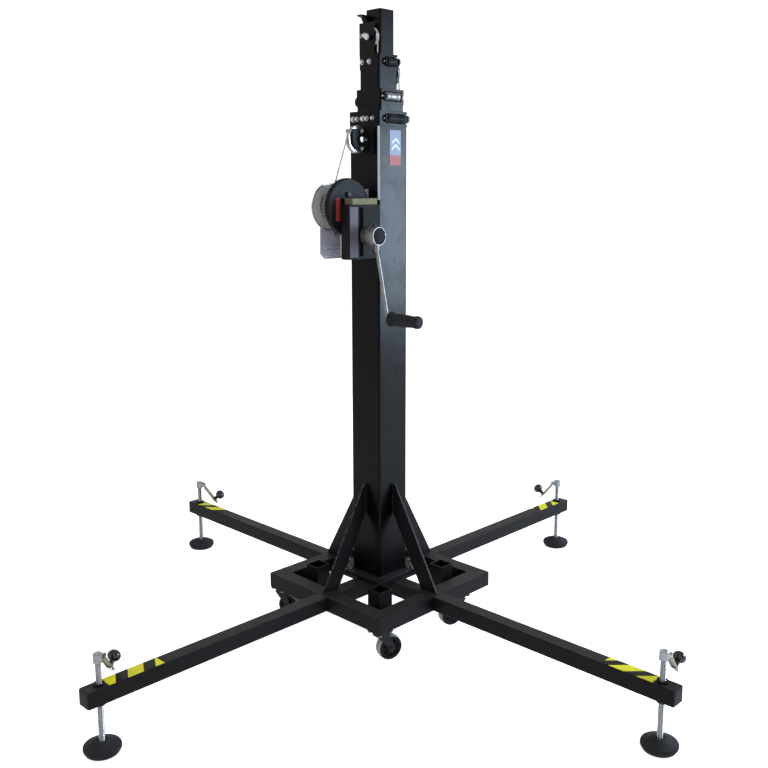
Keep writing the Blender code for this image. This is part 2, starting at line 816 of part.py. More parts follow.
def mast_section_4():
    """Innermost tube with the stop bracket that rests over the head of section 3."""
    half, y_centre, bottom, top = TUBES["mast_section_4"]
    tube = cut(
        square_tube_bar(half, y_centre, bottom, top, MAST_CORNER),
        square_tube_bar(half - WALL, y_centre, bottom - 0.01, top + 0.01, MAST_CORNER - WALL),
    )
    face = y_centre - half
    rest = TUBES["mast_section_3"][3] + TONGUE_RISE + 0.001
    outline = [
        (face + 0.001, rest),
        (face - 0.012, rest),
        (face - 0.020, rest + 0.013),
        (face - 0.036, rest + 0.016),
        (face - 0.036, rest + 0.020),
        (face + 0.001, rest + 0.020),
    ]
    bracket = plate(outline, 0.018)
    # The outline's plane XY becomes YZ, with its thickness along X.
    turn = Matrix(((0, 0, 1, -0.020), (1, 0, 0, 0), (0, 1, 0, 0), (0, 0, 0, 1)))
    piece("mast_section_4", joined(tube, moved(bracket, turn)), BLACK)


def top_cap():
    """Plug with a flat top that closes the innermost tube."""
    half, y_centre, _, top = TUBES["mast_section_4"]
    plug = half - WALL - 0.0004
    cap = joined(
        square_tube_bar(half, y_centre, top + GAP, top + 0.003 + GAP, MAST_CORNER),
        square_tube_bar(plug, y_centre, top - 0.020, top + 0.001, MAST_CORNER - WALL),
    )
    piece("top_cap", cap, BLACK)


# ------------------------------------------------------------------------ head pulley and cable
def head_pulley_axis():
    return INNER_CABLE_Y - HEAD_PULLEY_ROPE, HEAD_PULLEY_HEIGHT


def head_pulley():
    y, z = head_pulley_axis()
    width = HEAD_PULLEY_WIDTH / 2
    radius = HEAD_PULLEY_RADIUS
    root = HEAD_PULLEY_ROPE - CABLE_RADIUS - GAP
    profile = [
        (0.0058, width),
        (radius, width),
        (root, CABLE_RADIUS),
        (root, -CABLE_RADIUS),
        (radius, -width),
        (0.0058, -width),
    ]
    shape = along_x(turned(profile, steps=24, closed=True))
    piece("head_pulley", shape, ZINC, (0, y, z))


def head_pulley_bracket():
    """Back plate on the mast with two rounded cheeks that carry the head pulley's pin."""
    y, z = head_pulley_axis()
    face = -TUBES["mast_outer"][0] - GAP
    inner = HEAD_PULLEY_WIDTH / 2 + 0.0025
    slot = inner + 0.001
    halves = cut(
        box((-0.043, face - 0.004, z - 0.042), (0.043, face, z + 0.036)),
        box((-slot, face - 0.02, z - 0.034), (slot, face + 0.02, z + 0.060)),
    )
    outline = [(face - 0.0015, z + 0.0295), (y - 0.0285, z + 0.0295), (y - 0.0310, z + 0.0270)]
    outline += arc((y, z), 0.0310, 185, 262, 8)
    outline += [(face - 0.001, z - 0.034)]
    turn = Matrix(((0, 0, 1, 0), (1, 0, 0, 0), (0, 1, 0, 0), (0, 0, 0, 1)))
    for side in (-1, 1):
        cheek = moved(plate(outline, 0.004), turn)
        halves = joined(halves, shifted(cheek, x=side * (inner + 0.002)))
    pin = joined(
        rod((-inner - 0.009, y, z), (inner + 0.009, y, z), 0.005, segments=16),
        rod((inner + 0.0035, y, z), (inner + 0.0105, y, z), 0.0095, segments=6),
        rod((-inner - 0.0105, y, z), (-inner - 0.0035, y, z), 0.0095, segments=6),
    )
    piece("head_pulley_bracket", joined(halves, pin), BLACK)


def tangent_angle(pulley, drum, pulley_radius, drum_radius):
    """Angle, in the YZ plane, of the normal of the outer line that touches both circles."""
    dy, dz = drum[0] - pulley[0], drum[1] - pulley[1]
    distance = math.hypot(dy, dz)
    along = math.atan2(dz, dy)
    return along - math.acos((pulley_radius - drum_radius) / distance)


def lift_cables():
    """Cable from the drum's outer side over the head pulley, and its run inside the mast."""
    pulley = head_pulley_axis()
    angle = tangent_angle(pulley, DRUM_AXIS, HEAD_PULLEY_ROPE, CABLE_LAY_RADIUS)
    leave = math.degrees(angle) % 360
    off_drum = (
        DRUM_AXIS[0] + CABLE_LAY_RADIUS * math.cos(angle),
        DRUM_AXIS[1] + CABLE_LAY_RADIUS * math.sin(angle),
    )
    over = arc(pulley, HEAD_PULLEY_ROPE, leave, 0, 20)
    route = [off_drum, *over, (INNER_CABLE_Y, pulley[1] - 0.030)]
    outer = wire([(0.0, y, z) for y, z in route], CABLE_RADIUS)
    piece("lift_cable", outer, CABLE_STEEL)
    lug_top = TUBES["mast_section_2"][2] + 0.020
    inside = rod(
        (0, INNER_CABLE_Y, lug_top + GAP),
        (0, INNER_CABLE_Y, pulley[1] - 0.030 - GAP),
        CABLE_RADIUS,
        segments=8,
    )
    piece("lift_cable_inner", inside, CABLE_STEEL)


# -------------------------------------------------------------------------------- winch
def gear_outline(teeth, thick):
    """A spur gear's outline: trapezoid teeth, thick times half a pitch wide at the pitch circle."""
    radius = teeth * GEAR_MODULE / 2
    tip, root = radius + GEAR_MODULE, radius - 1.25 * GEAR_MODULE
    pitch = 2 * math.pi / teeth
    points = []
    for tooth in range(teeth):
        centre = tooth * pitch
        for offset, reach in ((-0.36, root), (-0.13, tip), (0.13, tip), (0.36, root)):
            angle = centre + offset * thick * pitch
            points.append((reach * math.cos(angle), reach * math.sin(angle)))
    return points


def winch_frame():
    """Back plate on the mast with two side plates that carry the drum and the crank shaft."""
    back = -TUBES["mast_outer"][0] - GAP
    inset = 0.0004
    sheet = box(
        (FRAME_LEFT + inset, back - FRAME_PLATE, FRAME_BOTTOM + inset),
        (FRAME_RIGHT - inset, back - inset, FRAME_TOP - inset),
    )
    sides = []
    for x, front in ((FRAME_LEFT, FRAME_FRONT), (FRAME_RIGHT - FRAME_PLATE, FRAME_FRONT + 0.014)):
        outline = [
            (back, FRAME_BOTTOM),
            (back, FRAME_TOP),
            (front + 0.030, FRAME_TOP),
            (front, FRAME_TOP - 0.030),
            (front, FRAME_BOTTOM + 0.016),
            (front + 0.016, FRAME_BOTTOM),
        ]
        turn = Matrix(((0, 0, 1, x + FRAME_PLATE / 2), (1, 0, 0, 0), (0, 1, 0, 0), (0, 0, 0, 1)))
        sides.append(moved(plate(outline, FRAME_PLATE), turn))
    frame = joined(sheet, *sides)
    holes = [
        rod((FRAME_LEFT - 0.01, y, z), (FRAME_RIGHT + 0.01, y, z), SHAFT_RADIUS + 0.0005)
        for y, z in (DRUM_AXIS, CRANK_AXIS)
    ]
    for z in (FRAME_BOTTOM + 0.022, FRAME_BOTTOM + 0.034):
        rib = box(
            (FRAME_LEFT + 0.002, FRAME_FRONT + 0.022, z),
            (FRAME_LEFT + 0.006, back - 0.001, z + 0.005),
        )
        frame = joined(frame, rib)
    piece("winch_frame", cut(frame, *holes), CAST_GREY)


def winch_drum():
    """Drum with its wound cable, a plain flange at -X, a gear flange at +X and shaft stubs."""
    left = FRAME_LEFT + FRAME_PLATE + 0.0025
    gear_back = FRAME_RIGHT - FRAME_PLATE - 0.0025 - GEAR_WIDTH
    end = FRAME_RIGHT - 0.0005
    start = FRAME_LEFT + 0.0005
    profile = [
        (0.0, end),
        (SHAFT_RADIUS, end),
        (SHAFT_RADIUS, gear_back + GEAR_WIDTH - 0.001),
        (0.030, gear_back + GEAR_WIDTH - 0.001),
        (0.030, gear_back - 0.001),
        (DRUM_WOUND_RADIUS, gear_back - 0.001),
        (DRUM_WOUND_RADIUS, left + 0.004),
        (DRUM_FLANGE_RADIUS, left + 0.004),
        (DRUM_FLANGE_RADIUS, left),
        (SHAFT_RADIUS, left),
        (SHAFT_RADIUS, start),
        (0.0, start),
    ]
    drum = along_x(turned(profile, steps=32))
    gear = along_x(plate(gear_outline(GEAR_TEETH, 0.97), GEAR_WIDTH))
    drum = joined(drum, shifted(gear, x=gear_back + GEAR_WIDTH / 2))
    piece("winch_drum", drum, ZINC, (0, *DRUM_AXIS))


def crank_shaft():
    """Shaft with its pinion, through the frame and the brake housing."""
    gear_middle = FRAME_RIGHT - FRAME_PLATE - 0.0025 - GEAR_WIDTH / 2
    shaft = rod((FRAME_LEFT + 0.0005, 0, 0), (HOUSING_FACE + 0.001, 0, 0), SHAFT_RADIUS)
    pinion = along_x(plate(gear_outline(PINION_TEETH, 0.88), GEAR_WIDTH))
    # A gap between two teeth faces the drum gear's tooth.
    towards = math.degrees(
        math.atan2(DRUM_AXIS[1] - CRANK_AXIS[1], DRUM_AXIS[0] - CRANK_AXIS[0])
    )
    pinion = turned_about(pinion, mesh_turn(towards), "X")
    shape = joined(shaft, shifted(pinion, x=gear_middle))
    piece("crank_shaft", shape, ZINC, (0, *CRANK_AXIS))


def mesh_turn(towards):
    """Turn about X that puts the pinion's gap where the drum gear has its tooth.

    Both outlines start with a tooth at the direction that along_x sends their local X to, which
    is -Z. Angles here are taken in the YZ plane from +Y.
    """
    start = -90.0
    gear_pitch = 360.0 / GEAR_TEETH
    pinion_pitch = 360.0 / PINION_TEETH
    seen_from_gear = towards + 180.0
    past_tooth = (seen_from_gear - start) % gear_pitch
    # The same offset along the pitch line, taken the other way round on the pinion.
    gap_at = towards + past_tooth * GEAR_TEETH / PINION_TEETH
    return (gap_at - start + pinion_pitch / 2) % pinion_pitch


def gear_cover():
    """Round guard over the end of the drum, with a rounded rim and a notch for the crank shaft."""
    inner = FRAME_RIGHT + GAP
    rim = COVER_RADIUS
    profile = [
        (0.0, COVER_OUTER - 0.001),
        (0.030, COVER_OUTER - 0.001),
        (0.032, COVER_OUTER),
        (rim - 0.005, COVER_OUTER),
        (rim - 0.0015, COVER_OUTER - 0.0015),
        (rim, COVER_OUTER - 0.005),
        (rim, inner),
        (0.0, inner),
    ]
    cover = shifted(along_x(turned(profile, steps=40)), y=DRUM_AXIS[0], z=DRUM_AXIS[1])
    notch = rod((0.0, *CRANK_AXIS), (0.06, *CRANK_AXIS), SHAFT_RADIUS + 0.004)
    piece("gear_cover", cut(cover, notch), PLASTIC)


def brake_housing():
    """Load-brake housing beside the gear cover, with a groove down its outer face."""
    back = -TUBES["mast_outer"][0] - 0.005
    housing = joined(
        box((HOUSING_BACK, HOUSING_FRONT, HOUSING_LOW), (HOUSING_FACE, back, HOUSING_HIGH)),
        box(
            (FRAME_RIGHT + GAP, HOUSING_FRONT + 0.030, HOUSING_LOW),
            (HOUSING_BACK + 0.001, back, 1.2575),
        ),
    )
    face = HOUSING_FACE
    housing = cut(
        housing,
        box((face - 0.008, -0.153, HOUSING_LOW + 0.008), (face + 0.01, -0.137, HOUSING_HIGH - 0.008)),
        rod((0.0, *CRANK_AXIS), (0.10, *CRANK_AXIS), SHAFT_RADIUS + 0.0005),
    )
    piece("brake_housing", housing, CAST_GREY, bevel=0.0012)


def housing_cap():
    low = HOUSING_HIGH + GAP
    cap = box((HOUSING_BACK + 0.002, -0.180, low), (HOUSING_FACE + 0.002, -0.080, low + 0.018))
    piece("housing_cap", cap, YELLOW_ZINC, bevel=0.001)


def crank_arm():
    """Hub with the round bar that runs down, outwards and into the grip."""
    start = HOUSING_FACE + 0.001 + GAP
    end = start + HUB_LENGTH
    hub_profile = [
        (0.0, HUB_LENGTH),
        (HUB_RADIUS - 0.002, HUB_LENGTH),
        (HUB_RADIUS, HUB_LENGTH - 0.002),
        (HUB_RADIUS, 0.0),
        (0.0, 0.0),
    ]
    hub = shifted(along_x(turned(hub_profile, steps=28)), x=start)
    knee = 0.016
    grip_start = end + 0.037
    path = [(end - 0.013, 0.0, -HUB_RADIUS + 0.004)]
    path.append((end - 0.011, 0.0, -HUB_RADIUS - 0.012))
    path.append((grip_start - 0.006 - knee * 0.2, 0.0, -CRANK_RADIUS + knee * 1.1))
    bend = arc((grip_start + 0.006, -CRANK_RADIUS + knee * 0.9), knee * 0.9, 190, 270, 6)
    path += [(x, 0.0, z) for x, z in bend]
    path.append((grip_start + GRIP_LENGTH - 0.006, 0.0, -CRANK_RADIUS))
    arm = wire(path, CRANK_ROD, sides=2)
    piece("crank_arm", joined(hub, arm), ZINC, (0, *CRANK_AXIS))


def crank_grip():
    """Hand grip that turns freely on the crank's end."""
    start = HOUSING_FACE + 0.001 + GAP + HUB_LENGTH + 0.037 + 0.008
    bore = CRANK_ROD + 0.0006
    length = GRIP_LENGTH - 0.008
    profile = [
        (0.0, length + 0.004),
        (GRIP_RADIUS - 0.006, length + 0.004),
        (GRIP_RADIUS, length - 0.004),
        (GRIP_RADIUS, length * 0.45),
        (GRIP_RADIUS - 0.002, 0.014),
        (GRIP_RADIUS + 0.004, 0.007),
        (GRIP_RADIUS + 0.004, 0.0),
        (bore, 0.0),
        (bore, length - 0.004),
        (0.0, length - 0.004),
    ]
    shape = along_x(turned(profile, steps=24))
    y, z = CRANK_AXIS
    piece("crank_grip", shape, PLASTIC, (start, y, z - CRANK_RADIUS))


def build():
    base_frame()
    foot_plate()
    braces()
    casters()
    outriggers()
    mast_outer()
    mast_section_2()
    mast_section_3()
    mast_section_4()
    top_cap()
    guide_roller("mast_outer", "guide_roller_1", "mast_section_2", PLASTIC)
    guide_roller("mast_section_2", "guide_roller_2", "mast_section_3", ZINC)
    guide_roller("mast_section_3", "guide_roller_3", "mast_section_4", PLASTIC)
    head_pulley_bracket()
    head_pulley()
    lift_cables()
    winch_frame()
    winch_drum()
    crank_shaft()
    gear_cover()
    brake_housing()
    housing_cap()
    crank_arm()
    crank_grip()


clear_scene()
PARTS = new_collection("crank_lighting_stand")
CUTTERS = new_collection("cutters")
build()
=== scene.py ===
"""Crank lighting stand: the visible pieces and their finishes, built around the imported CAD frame.

Everything is in metres in the frame's coordinates: +Z up, the winch on the mast's -Y face and
the crank handle on its +X side.
"""

import json
import math

import bmesh
import bpy
from mathutils import Matrix, Vector

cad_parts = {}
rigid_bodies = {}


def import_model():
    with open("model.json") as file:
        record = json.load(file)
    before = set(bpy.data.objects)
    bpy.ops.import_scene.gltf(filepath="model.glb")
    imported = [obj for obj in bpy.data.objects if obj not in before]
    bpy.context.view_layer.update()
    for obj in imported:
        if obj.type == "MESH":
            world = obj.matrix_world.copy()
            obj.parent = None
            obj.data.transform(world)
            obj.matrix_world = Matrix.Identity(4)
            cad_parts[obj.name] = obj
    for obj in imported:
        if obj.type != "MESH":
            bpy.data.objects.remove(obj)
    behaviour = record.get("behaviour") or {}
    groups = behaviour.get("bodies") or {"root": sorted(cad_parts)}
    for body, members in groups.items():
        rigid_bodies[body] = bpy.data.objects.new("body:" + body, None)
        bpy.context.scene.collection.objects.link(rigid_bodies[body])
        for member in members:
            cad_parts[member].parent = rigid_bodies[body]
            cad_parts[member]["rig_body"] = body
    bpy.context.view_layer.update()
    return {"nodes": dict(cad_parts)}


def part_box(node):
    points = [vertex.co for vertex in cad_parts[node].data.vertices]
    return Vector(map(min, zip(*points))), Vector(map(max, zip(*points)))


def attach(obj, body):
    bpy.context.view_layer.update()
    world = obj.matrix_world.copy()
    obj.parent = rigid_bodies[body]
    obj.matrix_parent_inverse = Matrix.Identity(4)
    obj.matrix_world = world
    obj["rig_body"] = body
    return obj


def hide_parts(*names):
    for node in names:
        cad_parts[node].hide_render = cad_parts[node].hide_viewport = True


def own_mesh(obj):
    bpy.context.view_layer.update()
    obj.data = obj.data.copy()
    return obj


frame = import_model()

X, Y, Z = Vector((1, 0, 0)), Vector((0, 1, 0)), Vector((0, 0, 1))
# Each outrigger's direction, its lever's heading and slope, and its caster's trail, in degrees
DIRECTIONS = {"a": -Y, "b": X, "c": -X, "d": Y}
LEVERS = {"a": (123.0, 52), "b": (90.0, 52), "c": (36.0, 52), "d": (188.0, 52)}
WHEELS = {"a": 71.8, "b": -110.0, "c": 20.0, "d": 35.0}

# Sizes that the finer pieces share with the solids that they stand for
JACK_REACH = 1.0
THREAD_PITCH = 0.004
SCREW_RADIUS = 0.008
PIVOT_REACH = 0.017
PIVOT_HEIGHT = 0.256
BEAM_TOP = 0.183
MAST_HALF = 0.061
DRUM_AXIS = Vector((0, -0.155, 1.354))
CRANK_AXIS = Vector((0, -0.125, 1.272))
CRANK_RADIUS = 0.235
HEAD_AXIS = Vector((0, -0.0891, 1.548))
INNER_CABLE_Y = -0.0503
CABLE_RADIUS = 0.0025
# Hazard tapes: the stripes' normal, their period and where they begin; then the tape's inner end
STRIPES = {
    "a": (Vector((0.48, 0.88, 0)), 0.0710, 0.352),
    "b": (Vector((1, -1, 0)), 0.0573, 0.171),
    "c": (Vector((1, -1, 0)), 0.0573, 0.300),
    "d": (Vector((1, 1, 0)), 0.0573, 0.100),
}
TAPE_START = {"a": 0.822, "b": 0.837, "c": 0.857, "d": 0.855}


# ------------------------------------------------------------------------------ finishes
def add(tree, kind, inputs=None, **settings):
    made = tree.nodes.new(kind)
    for key, value in settings.items():
        setattr(made, key, value)
    for key, value in (inputs or {}).items():
        if isinstance(value, bpy.types.NodeSocket):
            tree.links.new(value, made.inputs[key])
        else:
            made.inputs[key].default_value = value
    return made


def maths(tree, operation, a, b=0.0, clamp=False):
    inputs = {0: a, 1: b}
    return add(tree, "ShaderNodeMath", inputs, operation=operation, use_clamp=clamp).outputs[0]


def spread(tree, value, low, high, to_low, to_high):
    """The value's range low..high sent to to_low..to_high, and held there outside it."""
    inputs = {"Value": value, 1: low, 2: high, 3: to_low, 4: to_high}
    return add(tree, "ShaderNodeMapRange", inputs).outputs[0]


def blended(tree, share, first, second):
    mix = add(tree, "ShaderNodeMix", data_type="RGBA")
    for key, value in ((0, share), (6, first), (7, second)):
        if isinstance(value, bpy.types.NodeSocket):
            tree.links.new(value, mix.inputs[key])
        else:
            mix.inputs[key].default_value = value
    return mix.outputs[2]


def rgba(colour, factor=1.0):
    return (*[min(1.0, c * factor) for c in colour], 1.0)


def noise(tree, place, scale, detail=2.0, rough=0.5):
    inputs = {"Vector": place, "Scale": scale, "Detail": detail, "Roughness": rough}
    return add(tree, "ShaderNodeTexNoise", inputs).outputs[0]


def edge_mask(tree, place, width, share):
    """1 along worn edges and painted edge highlights, broken up by noise, and 0 on open faces."""
    bevelled = add(tree, "ShaderNodeBevel", {"Radius": width}, samples=4).outputs[0]
    plain = add(tree, "ShaderNodeNewGeometry").outputs["Normal"]
    dot = add(tree, "ShaderNodeVectorMath", {0: bevelled, 1: plain}, operation="DOT_PRODUCT")
    bent = spread(tree, dot.outputs["Value"], 0.99, 0.85, 0.0, 1.0)
    broken = spread(tree, noise(tree, place, 70, 4), 0.62 - share * 0.4, 0.75 - share * 0.4, 0, 1)
    return maths(tree, "MULTIPLY", bent, broken)


def finish(
    name, colour, rough, metallic=0.0, specular=0.5, tint=0.12, patch=7.0, grain=(900.0, 0.03),
    wear_and_highlight=None, dust=None, lines=None,
):
    """A surface with soft colour patches, a fine relief, lightened edges (wear, and on the braces a
    painted highlight) and a little dust.

    tint and patch: the patches' strength and scale; grain: scale and strength of the relief;
    wear_and_highlight: colour and width of the lightened edges, which are wear, and on the braces'
    paint a painted highlight; dust: colour and share on faces that look up; lines: scale and
    strength of drawn lines along X, Y or Z.
    """
    material = bpy.data.materials.new(name)
    material.use_nodes = True
    tree = material.node_tree
    shader = tree.nodes["Principled BSDF"]
    shader.inputs["Metallic"].default_value = metallic
    shader.inputs["Specular IOR Level"].default_value = specular
    place = add(tree, "ShaderNodeTexCoord").outputs["Object"]
    patches = noise(tree, place, patch, 4, 0.6)
    fine = noise(tree, place, grain[0], 3)
    shade = blended(
        tree, spread(tree, patches, 0.3, 0.7, 0, 1), rgba(colour, 1 - tint), rgba(colour, 1 + tint)
    )
    roughness = spread(tree, patches, 0.3, 0.7, rough * 0.88, rough * 1.12)
    smudges = spread(tree, noise(tree, place, patch * 9, 5, 0.7), 0.45, 0.7, -0.03, 0.07)
    roughness = maths(tree, "ADD", roughness, smudges, clamp=True)
    if dust:
        normal = add(tree, "ShaderNodeNewGeometry").outputs["Normal"]
        upward = add(tree, "ShaderNodeSeparateXYZ", {0: normal}).outputs[2]
        facing = spread(tree, upward, 0.5, 1.0, 0.0, dust[1])
        clumps = spread(tree, noise(tree, place, 26, 5, 0.7), 0.3, 0.7, 0.3, 1)
        lying = maths(tree, "MULTIPLY", facing, clumps)
        shade = blended(tree, lying, shade, rgba(dust[0]))
        duller = maths(tree, "MULTIPLY", lying, 0.35)
        roughness = maths(tree, "ADD", roughness, duller, clamp=True)
    # Lightened edges: wear, and in the braces' paint a painted highlight.
    if wear_and_highlight:
        wear_and_highlight_mask = edge_mask(tree, place, wear_and_highlight[1], 0.5)
        shade = blended(tree, wear_and_highlight_mask, shade, rgba(wear_and_highlight[0]))
        polish = maths(tree, "MULTIPLY", wear_and_highlight_mask, 0.12)
        roughness = maths(tree, "SUBTRACT", roughness, polish, clamp=True)
    height = fine
    if lines:
        stretched = add(tree, "ShaderNodeMapping", {"Vector": place, "Scale": lines[0]}).outputs[0]
        drawn = noise(tree, stretched, 1.0, 3)
        height = maths(tree, "ADD", maths(tree, "MULTIPLY", fine, 0.4), drawn)
        roughness = maths(
            tree, "ADD", roughness, spread(tree, drawn, 0.3, 0.7, -lines[1], lines[1]), clamp=True
        )
    bump = add(tree, "ShaderNodeBump", {"Height": height, "Strength": grain[1], "Distance": 0.001})
    tree.links.new(bump.outputs[0], shader.inputs["Normal"])
    tree.links.new(shade, shader.inputs["Base Color"])
    tree.links.new(roughness, shader.inputs["Roughness"])
    return material


def striped(name, first, second, direction, period, share, rough, start=0.0):
    """Tape with slanted stripes along a normal, with the first colour's share of each period."""
    material = finish(name, first, rough, specular=0.05, patch=40, grain=(1500, 0.02))
    tree = material.node_tree
    shader = tree.nodes["Principled BSDF"]
    link = shader.inputs["Base Color"].links[0]
    shade = link.from_socket
    place = add(tree, "ShaderNodeTexCoord").outputs["Object"]
    along = add(tree, "ShaderNodeVectorMath", {0: place, 1: direction}, operation="DOT_PRODUCT")
    wobble = maths(tree, "MULTIPLY", noise(tree, place, 300, 2), 0.0006)
    turns = maths(tree, "MULTIPLY", maths(tree, "ADD", along.outputs["Value"], wobble), 1 / period)
    phase = maths(tree, "FRACT", maths(tree, "ADD", turns, start))
    mask = spread(tree, phase, share - 0.006, share + 0.006, 0, 1)
    tree.links.new(blended(tree, mask, shade, rgba(second)), shader.inputs["Base Color"])
    return material


PAINT = finish(
    "satin_black_paint", (0.0036, 0.0032, 0.0038), 0.45, specular=0.055, tint=0.3, patch=5,
    grain=(520, 0.04), wear_and_highlight=((0.045, 0.045, 0.047), 0.0005), dust=((0.060, 0.056, 0.052), 0.30),
)
# Black paint for the braces: its broad pale edge colour is a painted highlight along the plates'
# thin edges.
HIGHLIGHT_EDGED_PAINT = finish(
    "black_paint_edge_highlights", (0.0036, 0.0032, 0.0038), 0.42, specular=0.06, tint=0.3, patch=5,
    grain=(520, 0.04), wear_and_highlight=((0.17, 0.165, 0.180), 0.0022), dust=((0.060, 0.056, 0.052), 0.20),
)
MAST_PAINT = finish(
    "mast_satin_paint", (0.0010, 0.0008, 0.0011), 0.30, specular=0.060, tint=0.12, patch=1.2,
    grain=(450, 0.008), wear_and_highlight=((0.050, 0.050, 0.054), 0.0005), lines=((240, 240, 2.5), 0.006),
)
ZINC = finish(
    "bright_zinc", (0.33, 0.34, 0.355), 0.30, metallic=1.0, tint=0.14, patch=30,
    grain=(1400, 0.05), wear_and_highlight=((0.66, 0.66, 0.68), 0.0005),
)
SCREW_ZINC = finish(
    "screw_zinc", (0.185, 0.190, 0.198), 0.24, metallic=1.0, tint=0.14, patch=30,
    grain=(1400, 0.05), wear_and_highlight=((0.42, 0.42, 0.44), 0.0005),
)
DULL_ZINC = finish(
    "dull_zinc", (0.125, 0.122, 0.122), 0.40, metallic=0.85, tint=0.2, patch=30,
    grain=(1400, 0.06), wear_and_highlight=((0.30, 0.29, 0.25), 0.0005),
)
FLANGE_ZINC = finish(
    "flange_zinc", (0.40, 0.40, 0.40), 0.50, metallic=0.25, specular=0.3, tint=0.12, patch=30,
    grain=(1200, 0.08), wear_and_highlight=((0.45, 0.45, 0.45), 0.0006),
)
YELLOW_ZINC = finish(
    "yellow_zinc", (0.15, 0.138, 0.078), 0.40, metallic=0.75, tint=0.25, patch=45,
    grain=(1200, 0.05), wear_and_highlight=((0.36, 0.35, 0.29), 0.0006),
)
OLIVE = finish(
    "olive_zinc", (0.088, 0.082, 0.050), 0.62, metallic=0.1, specular=0.06, tint=0.25, patch=45,
    grain=(1200, 0.05), wear_and_highlight=((0.20, 0.19, 0.15), 0.0006),
)
CABLE = finish(
    "cable_steel", (0.21, 0.205, 0.19), 0.45, metallic=0.7, tint=0.2, patch=120, grain=(2600, 0.15)
)
# Darker copy of cable_steel for the turns wound on the drum: painted shade on the cable in the
# drum's recess.
DRUM_CABLE = finish(
    "drum_cable_steel", (0.10, 0.10, 0.098), 0.42, metallic=0.7, tint=0.2, patch=120,
    grain=(2600, 0.15),
)
RUBBER = finish(
    "black_rubber", (0.0080, 0.0078, 0.0092), 0.70, specular=0.09, tint=0.3, patch=18,
    grain=(800, 0.10), dust=((0.050, 0.050, 0.053), 0.30), wear_and_highlight=((0.030, 0.030, 0.032), 0.0008),
)
PLASTIC = finish(
    "black_plastic", (0.0045, 0.0044, 0.0050), 0.50, specular=0.055, tint=0.25, patch=22,
    grain=(1600, 0.06), wear_and_highlight=((0.025, 0.025, 0.027), 0.0005),
)
GLOSS = finish(
    "knob_plastic", (0.0050, 0.0050, 0.0058), 0.13, specular=0.35, tint=0.2, patch=30,
    grain=(700, 0.015),
)
FRAME_GREY = finish(
    "frame_grey", (0.280, 0.275, 0.330), 0.50, metallic=0.25, specular=0.25, tint=0.18, patch=16,
    grain=(700, 0.12), wear_and_highlight=((0.40, 0.40, 0.42), 0.0008), dust=((0.22, 0.21, 0.20), 0.2),
)
STRIP_GREY = finish(
    "strip_grey", (0.048, 0.047, 0.058), 0.55, specular=0.10, tint=0.18, patch=16,
    grain=(700, 0.12), wear_and_highlight=((0.14, 0.14, 0.15), 0.0008),
)
FORK_GREY = finish(
    "fork_black", (0.0090, 0.0088, 0.0100), 0.45, metallic=0.2, specular=0.12, tint=0.25, patch=22,
    grain=(900, 0.08), wear_and_highlight=((0.07, 0.07, 0.075), 0.0006),
)
HOUSING = finish(
    "housing_black", (0.0055, 0.0055, 0.0064), 0.50, specular=0.032, tint=0.25, patch=16,
    grain=(700, 0.10), wear_and_highlight=((0.055, 0.055, 0.06), 0.0008),
)
TREAD = finish(
    "grey_tread", (0.155, 0.150, 0.160), 0.62, specular=0.2, tint=0.15, patch=25, grain=(900, 0.10),
    wear_and_highlight=((0.11, 0.11, 0.11), 0.0008),
)
STICKER = finish(
    "label_pale", (0.125, 0.160, 0.215), 0.45, specular=0.08, tint=0.08, patch=20, grain=(300, 0.02)
)
STICKER_RED = finish(
    "label_rose", (0.185, 0.060, 0.062), 0.45, specular=0.08, tint=0.10, patch=20, grain=(300, 0.02)
)
STICKER_WHITE = finish(
    "label_white", (0.36, 0.40, 0.46), 0.45, specular=0.08, tint=0.05, patch=20, grain=(300, 0.02)
)
CREAM = finish(
    "roller_cream", (0.26, 0.245, 0.185), 0.50, specular=0.12, tint=0.12, patch=40,
    grain=(900, 0.04),
)
RED = finish(
    "label_red", (0.16, 0.016, 0.014), 0.50, specular=0.06, tint=0.2, patch=60, grain=(500, 0.03)
)


# --------------------------------------------------------------------------------- shapes
# A shape is a pair: a list of points and a list of faces.
def lathe(profile, steps=48):
    """Surface of revolution about Z. A profile that ends where it starts is a ring."""
    points, rings = [], []
    for radius, z in profile:
        if radius < 1e-7:
            rings.append([len(points)] * steps)
            points.append(Vector((0, 0, z)))
            continue
        rings.append([len(points) + i for i in range(steps)])
        for i in range(steps):
            angle = 2 * math.pi * i / steps
            points.append(Vector((radius * math.cos(angle), radius * math.sin(angle), z)))
    faces = []
    for low, high in zip(rings, rings[1:]):
        for i in range(steps):
            j = (i + 1) % steps
            face = list(dict.fromkeys((low[i], low[j], high[j], high[i])))
            if len(face) > 2:
                faces.append(face)
    return points, faces


def mirrored(half, groove=()):
    """Closed ring profile from its half above z = 0, with an optional groove in its rim."""
    return [*half, *groove, *((radius, -z) for radius, z in reversed(half)), half[0]]


def prism(outline, low, high):
    """Outline in XY, raised from low to high along Z."""
    count = len(outline)
    points = [Vector((x, y, z)) for z in (low, high) for x, y in outline]
    faces = [list(range(count))[::-1], list(range(count, 2 * count))]
    faces += [[i, (i + 1) % count, count + (i + 1) % count, count + i] for i in range(count)]
    return points, faces


def block(low, high):
    (x0, y0, z0), (x1, y1, z1) = low, high
    return prism([(x0, y0), (x1, y0), (x1, y1), (x0, y1)], z0, z1)


def arc(centre, radius, start, end, steps):
    """Points from start to end degrees, both ends included."""
    turns = [math.radians(start + (end - start) * i / steps) for i in range(steps + 1)]
    return [(centre[0] + radius * math.cos(t), centre[1] + radius * math.sin(t)) for t in turns]


